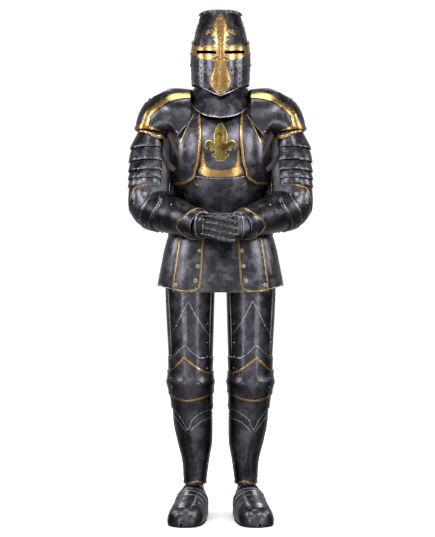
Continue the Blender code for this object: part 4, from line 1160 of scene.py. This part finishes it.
def build_shoulder(side):
    front = curved((0, 1, 2, 3), (-7.2, -24, -42, -45))
    dome = skin("pauldron", side)
    plate(dome, SHOULDER, (front, lambda t: 180 - front(t)), (0.0, 3.0))
    along = np.linspace(0.02, 2.7, 30)
    for turns in (front(along) + 0.7, 179.3 - front(along)):
        bead(dome, SHOULDER, list(zip(turns, along)), *ROLLED, 0.0012)
    rivets(dome, SHOULDER, PAULDRON_RIVETS, WALL)
    fork = curved((-85, -60, -35, -11, 12, 41, 66), (1.411, 1.404, 1.4005, 1.3995, 1.4125, 1.4225, 1.4245))
    plate(dome, UPPER_ARM, (-80, 66), (lambda a: fork(a) - 0.0070, lambda a: fork(a) + 0.020), 0.0108, 0.0014)
    dome.build()
    band = skin("pauldron_band", side, slot="brass")
    outline = [
        (0.02, 37.5), (0.02, 57), (0.30, 53), (0.60, 49), (0.99, 42.5), (1.36, 39), (1.78, 39.5), (2.13, 46),
        (2.25, 44), (2.56, 39.5), (2.72, 40), (2.80, 50), (2.86, 66), (2.87, 100), (2.99, 100), (2.99, 66),
        (2.99, 30), (2.99, -20), (2.85, -20), (2.80, 12), (2.66, 22), (2.45, 26), (2.26, 28.5), (2.06, 27.5),
        (1.53, 26.5), (0.90, 31), (0.40, 35.5),
    ]
    inlay(band, lambda t, a, lift: SHOULDER(a, t, lift), outline, (0.085, 3.5), LAYER + 0.0013)
    ribbon(band, SHOULDER, [(a, 2.93) for a in (100, 130, 160, 190, 215)], 0.009, 0.0014, WALL)
    ribbon(
        band, UPPER_ARM, [(a, float(fork(a))) for a in range(-80, 61, 5)], 0.0115, 0.0014, 0.0122, bend=False
    )
    band.build()


def beside_chest(x, height, lift):
    """The hanging surface of the straps, from the arm's front to the breastplate's side."""
    y = np.interp(x, (0.147, 0.181, 0.212), (-0.100, -0.080, -0.074))
    return np.stack([x, y - lift, height], axis=-1)


def build_gusset(side):
    """The arming cloth under the arm and beside the neck, between the plates."""
    cloth_piece = extra("armpit_cloth", side, "arming_cloth")
    heights = np.linspace(1.172, 1.440, 30)[:, None]
    across = np.linspace(0, 1, 9)[None, :]
    x = 0.148 + 0.068 * across + 0 * heights
    y = 0.004 + 0.010 * np.cos(across * 2 * np.pi) + 0.002 * np.sin(heights * 110)
    outer = np.stack([x, y, heights + 0 * across], axis=-1)
    sheet(cloth_piece, outer, outer + (0, 0.002, 0), look="arming_cloth")
    plate(cloth_piece, TORSO, (27, 84), (1.375, 1.535), -0.0008, 0.0016, look="arming_cloth")
    cloth_piece.build()


def build_upper_arm(side):
    arm = skin("arm_lames", side)
    sides = (-36, -18, 0, 40, 83, 120, 180, 198, 216)
    droop = curved(sides, (-0.004, -0.001, 0, -0.003, -0.007, -0.004, 0, -0.001, -0.004))
    top = curved(sides, (1.390, 1.412, 1.434, 1.436, 1.436, 1.436, 1.434, 1.412, 1.390))
    for high, low in zip((None, *LAME_EDGES[:-1]), LAME_EDGES):
        upper = (lambda a: high + 0.012 + droop(a)) if high else top
        plate(
            arm, UPPER_ARM, (-36, 216), (lambda a: low + droop(a), upper),
            lambda share: 0.0003 + 0.0084 * (1 - share) ** 1.3 + 0.0010 * np.sin(np.pi * share)
        )
        spots = [(a, low + 0.011 + float(droop(a))) for a in (20, 72, 160)]
        rivets(arm, UPPER_ARM, spots, 0.0050 + WALL, 0.0031)
    arm.build()
    sleeve = skin("arming_sleeve", side, slot="arming_cloth")

    def creases(a, t):
        turn = np.radians(a)
        along = -0.0009 * (1 + np.sin(t * 9.0 + 0.6 * np.sin(turn * 2)))
        return along - 0.0006 * (1 + np.sin(turn * 7 + t * 3))

    plate(sleeve, SLEEVE, (0, 360), (0.0, 4.4), 0.0012, WALL - 0.0006, creases, "arming_cloth")
    sleeve.build()
    straps = extra("arm_straps", side, "leather")
    for path in ARM_STRAPS:
        ribbon(straps, beside_chest, path, 0.018, 0.0024, 0.0, "leather")
    straps.build()


def build_elbow(side):
    elbow = skin("couter", side)
    first = curved(
        (-54, -26, 8, 40, 90, 140, 180, 234),
        (-0.032, -0.034, -0.034, -0.034, -0.034, -0.034, -0.034, -0.032)
    )
    second = curved(
        (-60, -40, 0, 50, 90, 130, 180, 220, 240),
        (0.082, 0.100, 0.090, 0.078, 0.072, 0.078, 0.090, 0.100, 0.082)
    )
    third = curved(
        (-60, -36, -24, 0, 15, 50, 90, 130, 165, 204, 216, 240),
        (0.128, 0.1535, 0.156, 0.148, 0.139, 0.117, 0.110, 0.117, 0.139, 0.156, 0.1535, 0.128)
    )
    plate(
        elbow, FOREARM, (-54, 234), (first, lambda a: second(a) + 0.010),
        lambda share: LAYER + 0.0015 - 0.0020 * share
    )
    plate(
        elbow, FOREARM, (-54, 234), (second, lambda a: third(a) + 0.008),
        lambda share: LAYER + 0.0016 - 0.0016 * share, relief=ridge(90, 60, 0.002, 0.03, 0.12)
    )
    plate(
        elbow, FOREARM, (-54, 234), (third, lambda a: third(a) + 0.012),
        lambda share: LAYER + 0.0012 - 0.0013 * share
    )
    edge = np.linspace(-53, 233, 61)
    for line in (second, third):
        rim(elbow, FOREARM, line, 0.001, (-53, 233), LAYER + WALL + 0.0009, 61, (0.0030, 0.0010), True)
    rivets(elbow, FOREARM, ELBOW_RIVETS, LAYER + WALL + 0.0012)
    elbow.build()
    trim = extra("couter_trim", side, "brass")
    arc = curved(
        (-54, -26, -1.5, 7.5, 20, 50, 90, 130, 160, 172.5, 181.5, 206, 234),
        (-0.026, -0.018, 0.000, 0.0226, 0.034, 0.040, 0.041, 0.040, 0.034, 0.0226, 0.000, -0.018, -0.026)
    )
    ribbon(trim, FOREARM, [(a, float(arc(a))) for a in edge], 0.0070, 0.0016, LAYER + 0.0010 + WALL)
    point = even(curved((0, 15, 32, 49, 67, 120, 180), (0.175, 0.184, 0.197, 0.206, 0.211, 0.213, 0.214)))
    chevron = np.linspace(-180, 180, 73)[:-1]
    ribbon(
        trim, FOREARM, [(a, BEND_END + float(point(a - CUFF_TURN)) + 0.0035) for a in chevron], 0.0075,
        0.0016, LAYER + WALL + 0.0018, "dark_brass", closed=True, bend=False
    )
    trim.build()
    forearm = skin("vambrace", side)
    plate(forearm, FOREARM, (0, 360), (BEND_END, BEND_END + 0.222))
    seam = [(100, BEND_END + 0.02), (100, BEND_END + 0.115)]
    ribbon(forearm, FOREARM, seam, 0.006, 0.0015, WALL, "steel", edge=0.001)
    rivets(forearm, FOREARM, VAMBRACE_RIVETS, WALL)
    forearm.build()
    cuff = skin("cuff", side)
    plate(
        cuff, FOREARM, (0, 360), (lambda a: BEND_END + point(a - CUFF_TURN), BEND_END + 0.246),
        lambda share: LAYER - 0.0004 + 0.0032 * (1 - share) ** 3
    )
    rivets(
        cuff, FOREARM, [(a, BEND_END + 0.218) for a in (-80, -55, 40, 120, 200)], LAYER + WALL - 0.0003,
        0.0030
    )
    cuff.build()


def build_hands():
    """Each hand: plates round its wrist and palm, and a glove with four fingers of overlapping scales."""
    for side, rows in ((-1, TOP_HAND_ROWS), (1, UNDER_HAND_ROWS)):
        hand = skin("hand", side)
        limb = hand_limb(rows)
        last = len(rows) - 1.0
        plate(hand, limb, (-90, 270), (0.0, 0.58), lambda share: 0.0030 * share, 0.0016, step=0.005)
        bead(hand, limb, [(a, 0.57) for a in range(-90, 270, 8)], 0.0032, 0.0012, 0.0040, True, False)
        plate(hand, limb, (-90, 270), (0.50, 0.92), 0.0002, 0.0014, step=0.005)
        plate(hand, limb, (-90, 270), (0.84, 1.25), 0.0006, 0.0014, step=0.005)
        plate(hand, limb, (-90, 270), (1.0, last), -0.0022, 0.0010, step=0.006, look="sole_leather")
        for finger in range(4):
            build_finger(hand, limb, (finger - 1.5) / 2, last - 0.12 * abs(finger - 1.3))
        hand.build()


def build_finger(hand, limb, height, end):
    """One finger's scales, at this share of the hand's half height. Each laps over the next."""
    places = np.linspace(0.85, end, 7)
    swell = (0.78, 1.0, 1.06, 1.0, 0.80)
    turns = np.radians(np.arange(0, 360, 30))
    for start, stop in zip(places[:-1], places[1:]):
        t = start + (stop - start) * 1.12 * np.linspace(0, 1, 5)
        row = limb.section(np.minimum(t, limb.keys[-1]))
        up, back = unit(row[:, 3:6]), -unit(row[:, 6:9])
        tall, thick = row[:, 9], row[:, 11]
        middle = row[:, 0:3] + up * (height * tall)[:, None] + back * (thick * 0.42)[:, None]
        rings = [
            middle[i] + up[i] * np.cos(turns)[:, None] * tall[i] * 0.235 * swell[i]
            + back[i] * np.sin(turns)[:, None] * thick[i] * 0.62 * swell[i]
            for i in range(5)
        ]
        loft(hand, rings, "steel")


def build_leg(side):
    thigh = skin("cuisse", side)
    plate(thigh, LEG, (0, 360), (0.575, 0.985))
    inside = [(-58, 0.590), (-57.5, 0.70), (-60, 0.83), (-62, 0.90)]
    for path in (inside, [(-a, t) for a, t in inside[::-1]]):
        bead(thigh, LEG, path, 0.0034, 0.0014, WALL - SINK)
    rivets(thigh, LEG, THIGH_RIVETS, WALL)
    rivets(
        thigh, LEG, [(120, 0.62), (120, 0.72), (120, 0.82), (-120, 0.62), (-120, 0.72), (-120, 0.82)], WALL
    )
    thigh.build()
    lames = skin("cuisse_lames", side)
    high = curved(
        (-108, -90, -62, -35, 0, 2, 6, 33, 60, 90, 108),
        (0.640, 0.644, 0.6657, 0.7014, 0.792, 0.799, 0.790, 0.716, 0.669, 0.642, 0.640)
    )
    plate(
        lames, LEG, (-108, 108), (0.562, high), lambda share: 0.0022 - 0.0016 * share, 0.0014,
        ridge(5, 7, 0.0018, 0.54, 0.79, 0.02)
    )
    rim(lames, LEG, high, -0.0008, (-107, 107), 0.0016, 81)
    high = curved(
        (-108, -70, -45, -22, -10, 8, 12, 16, 50, 108),
        (0.592, 0.592, 0.592, 0.594, 0.606, 0.632, 0.638, 0.634, 0.594, 0.592)
    )
    plate(lames, LEG, (-108, 108), (0.520, high), 0.0039, 0.0014, ridge(10, 7, 0.0012, 0.50, 0.63, 0.02))
    rim(lames, LEG, high, -0.0008, (-100, 100), 0.0046)
    rivets(lames, LEG, [(33, 0.709), (62, 0.646), (58, 0.598), (-50, 0.552)], LAYER + WALL - 0.001)
    lames.build()
    build_knee(side)
    build_shin(side)


def build_knee(side):
    knee = skin("poleyn", side)
    high = curved(
        (-110, -72, -52, -34, -12, 3, 10, 14.5, 19, 30, 43, 110),
        (0.536, 0.5363, 0.5375, 0.5440, 0.5630, 0.5800, 0.5900, 0.5955, 0.5880, 0.5720, 0.5560, 0.540)
    )
    low = curved(
        (-110, -90, -60, -31, 0, 12, 28, 57, 110),
        (0.470, 0.463, 0.455, 0.4440, 0.4360, 0.4340, 0.4370, 0.4460, 0.470)
    )
    lift = 2 * LAYER + 0.0007
    keel = ridge(12, 9, 0.0022, 0.44, 0.60, 0.01)

    def swelling(a, t):
        return keel(a, t) + 0.0040 * np.clip(1 - np.abs(t - 0.4985) / 0.022, 0, 1) ** 1.4

    plate(knee, LEG, (-108, 108), (low, high), lift - 0.0002, WALL, swelling)
    rivets(knee, LEG, KNEE_RIVETS, lift + WALL)
    knee.build()
    trim = extra("poleyn_trim", side, "brass")
    edge = np.linspace(-107, 107, 72)

    def over_keel(a, t, offset):
        return LEG(a, t, offset + keel(a, t))

    for line, shift, width in ((high, -0.003, 0.0075), (low, 0.003, 0.0068)):
        path = [(a, float(line(a)) + shift) for a in edge]
        ribbon(trim, over_keel, path, width, 0.0016, lift + WALL - 0.0002, bend=False)
    trim.build()
    lames = skin("shin_lames", side)
    low = curved(
        (-108, -91, -47, -26, -8, 2, 8, 15, 28, 47, 108),
        (0.402, 0.398, 0.3964, 0.3890, 0.3730, 0.3600, 0.3400, 0.3270, 0.3560, 0.3875, 0.402)
    )

    def second(a):
        return low(a) - 0.033 + 0.020 * np.exp(-((a - 15) / 9) ** 2)

    plate(lames, LEG, (-108, 108), (low, 0.515), LAYER + 0.0010, WALL, ridge(14, 8, 0.0016, 0.33, 0.46, 0.02))
    plate(
        lames, LEG, (-108, 108), (second, lambda a: low(a) + 0.012), 0.0005, 0.0016,
        ridge(14, 8, 0.0014, 0.30, 0.40, 0.02)
    )
    rim(lames, LEG, low, 0.0008, (-107, 107), LAYER + 0.0022, 81)
    rim(lames, LEG, second, 0.0008, (-107, 107), 0.0014, 81)
    rivets(lames, LEG, [(70, 0.420), (70, 0.447), (-84, 0.4125)], LAYER + WALL + 0.001)
    rivets(lames, LEG, [(70, 0.385), (-84, 0.379)], 0.0021)
    lames.build()


def build_shin(side):
    shin = skin("greave", side)
    plate(
        shin, LEG, (0, 360), (0.1198, 0.420),
        relief=ridge(lambda t: 2 + 12 * np.clip((t - 0.2) / 0.15, 0, 1), 10, 0.0032, 0.12, 0.34, 0.04)
    )
    for angle in (88, -92):
        path = [(angle, t) for t in (0.14, 0.22, 0.30, 0.37)]
        bead(shin, LEG, path, 0.004, 0.0014, WALL - SINK, edge=0.001)
    rivets(
        shin, LEG,
        [(-60, 0.196), (100, 0.17), (100, 0.25), (100, 0.33), (-104, 0.17), (-104, 0.25), (-104, 0.33)], WALL
    )
    shin.build()
    trim = extra("greave_trim", side, "brass")
    ribbon(
        trim, LEG, [(a, 0.1240 + 0.010 * math.exp(-((a + 8) / 26) ** 2)) for a in range(-180, 180, 6)],
        0.0065, 0.0016, WALL, closed=True, bend=False
    )
    trim.build()


def build_foot(side):
    foot = foot_limb()
    shoe = skin("sabaton", side)

    def bow(a, t):
        return t - 0.016 * (1 - np.cos(np.radians(np.clip(np.abs(a), 0, 80)) * 1.1))

    def swell(a, t):
        return 0.010 * np.exp(-(((np.abs(a) - 52) / 26) ** 2)) * np.exp(-(((t - 0.045) / 0.032) ** 2))

    def raised(a, t, lift):
        return foot(a, t, lift + swell(a, t))

    for start, end in zip(SABATON_EDGES[:-1], SABATON_EDGES[1:]):
        heel, toe = start == SABATON_EDGES[0], end == SABATON_EDGES[-1]
        span = (start if heel else lambda a: bow(a, start - 0.007), 0.2305 if toe else lambda a: bow(a, end))
        plate(shoe, foot, (-88, 88), span, lambda share: -0.0006 + 0.0018 * share, 0.0014, swell, step=0.006)
        if 0 < end < 0.13:
            rim(shoe, raised, lambda a: bow(a, end - 0.0008), 0.0, (-80, 80), 0.0022, 33, (0.0030, 0.0010))
    rivets(shoe, foot, [(8, 0.146), (74, 0.02), (-74, 0.02), (74, 0.08), (-74, 0.08)], 0.0024)
    shoe.build()
    dress_node(labelled("sabaton_sole", side), "sole_leather")


# Columns: name, place, aim, width and height, power. The first table's lights stand on both sides
SIDE_LIGHTS = (
    ("front_side", (3.0, -1.5, 2.5), (0, 0, 1.25), (0.5, 1.5), 32),
    ("low_side", (1.9, -2.6, 0.6), (0, 0, 0.6), (0.25, 1.1), 9),
    ("side", (3.0, 0.3, 2.2), (0.2, -0.1, 1.15), (0.5, 1.0), 20),
    ("front_top", (1.75, -2.4, 3.6), (0, 0, 1.2), (0.9, 0.6), 28),
    ("high_back", (1.0, 3.0, 3.2), (0, 0, 1.1), (0.7, 0.9), 30),
)
MIDDLE_LIGHTS = (
    ("front_strip", (0.0, -4.2, 3.4), (0, 0, 1.7), (0.22, 2.4), 12),
    ("left_strip", (-1.5, -4.2, 2.0), (0, 0, 1.5), (0.12, 1.5), 5),
    ("overhead", (0, -0.3, 4.2), (0, 0, 0), (1.6, 1.6), 45),
)
# What polished metal mirrors of the room. Columns: share of the way from front to back, brightness
MIRRORED = ((0.0, 0.95), (0.08, 0.66), (0.25, 0.38), (0.45, 0.12), (0.62, 0.10), (1.0, 0.50))


def area_light(name, place, aim, size, power):
    data = bpy.data.lights.new(name, "AREA")
    data.shape = "RECTANGLE"
    data.size, data.size_y = size
    data.energy = power
    light = bpy.data.objects.new(name, data)
    bpy.context.scene.collection.objects.link(light)
    light.location = place
    light.rotation_euler = (Vector(aim) - Vector(place)).to_track_quat("-Z", "Y").to_euler()


def build_world():
    """A white room. What the metal mirrors of it is bright in front, dim at the sides and grey behind."""
    world = bpy.data.worlds.new("pale_room")
    bpy.context.scene.world = world
    world.use_nodes = True
    nodes, links = world.node_tree.nodes, world.node_tree.links
    plain = nodes["Background"]
    plain.inputs["Color"].default_value = (1.0, 1.0, 1.0, 1.0)
    plain.inputs["Strength"].default_value = 1.12
    mirrored_room = nodes.new("ShaderNodeBackground")
    direction = nodes.new("ShaderNodeSeparateXYZ")
    links.new(nodes.new("ShaderNodeTexCoord").outputs["Generated"], direction.inputs["Vector"])
    brightness = nodes.new("ShaderNodeValToRGB")
    while len(brightness.color_ramp.elements) < len(MIRRORED):
        brightness.color_ramp.elements.new(0.5)
    for element, (place, value) in zip(brightness.color_ramp.elements, MIRRORED):
        element.position = place
        element.color = (value, value, value, 1.0)
    share = nodes.new("ShaderNodeMath")
    share.operation = "MULTIPLY_ADD"
    share.inputs[1].default_value = 0.5
    share.inputs[2].default_value = 0.5
    links.new(direction.outputs["Y"], share.inputs[0])
    links.new(share.outputs["Value"], brightness.inputs["Fac"])
    links.new(brightness.outputs["Color"], mirrored_room.inputs["Color"])
    mixer = nodes.new("ShaderNodeMixShader")
    links.new(nodes.new("ShaderNodeLightPath").outputs["Is Glossy Ray"], mixer.inputs["Fac"])
    links.new(plain.outputs["Background"], mixer.inputs[1])
    links.new(mirrored_room.outputs["Background"], mixer.inputs[2])
    links.new(mixer.outputs["Shader"], nodes["World Output"].inputs["Surface"])


def build_stage():
    """A white floor and room, soft lights on both sides, and the camera straight in front."""
    mesh = bpy.data.meshes.new("floor")
    corners = [(x * FLOOR_SIZE, y * FLOOR_SIZE, 0) for x, y in ((-1, -1), (1, -1), (1, 1), (-1, 1))]
    mesh.from_pydata(corners, [], [(0, 1, 2, 3)])
    floor = bpy.data.objects.new("floor", mesh)
    bpy.context.scene.collection.objects.link(floor)
    paint = Nodes("pale_floor")
    mesh.materials.append(paint.finish(Base_Color=(0.93, 0.93, 0.93, 1.0), Roughness=0.85))
    floor.visible_glossy = False
    build_world()
    bpy.context.scene.view_settings.view_transform = "Standard"
    for name, place, aim, size, power in SIDE_LIGHTS:
        for side in (-1, 1):
            area_light(name, (side * place[0], *place[1:]), (side * aim[0], *aim[1:]), size, power)
    for light in MIDDLE_LIGHTS:
        area_light(*light)
    camera = bpy.data.objects.new("camera", bpy.data.cameras.new("camera"))
    bpy.context.scene.collection.objects.link(camera)
    camera.data.lens = LENS
    camera.location = (CAMERA_X, FIGURE_Y - CAMERA_FAR, CAMERA_HEIGHT)
    camera.rotation_euler = (math.radians(90), 0, 0)
    bpy.context.scene.camera = camera


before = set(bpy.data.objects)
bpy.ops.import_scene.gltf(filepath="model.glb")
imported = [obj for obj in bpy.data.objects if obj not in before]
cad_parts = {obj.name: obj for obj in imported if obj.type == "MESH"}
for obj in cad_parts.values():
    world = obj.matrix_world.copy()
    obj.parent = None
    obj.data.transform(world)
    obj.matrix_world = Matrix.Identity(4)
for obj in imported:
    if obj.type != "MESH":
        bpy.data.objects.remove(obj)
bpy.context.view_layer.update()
build_stage()
build_helm()
build_gorget()
build_torso()
build_skirt()
for side in (-1, 1):
    build_arm(side)
    build_leg(side)
    build_foot(side)
build_hands()
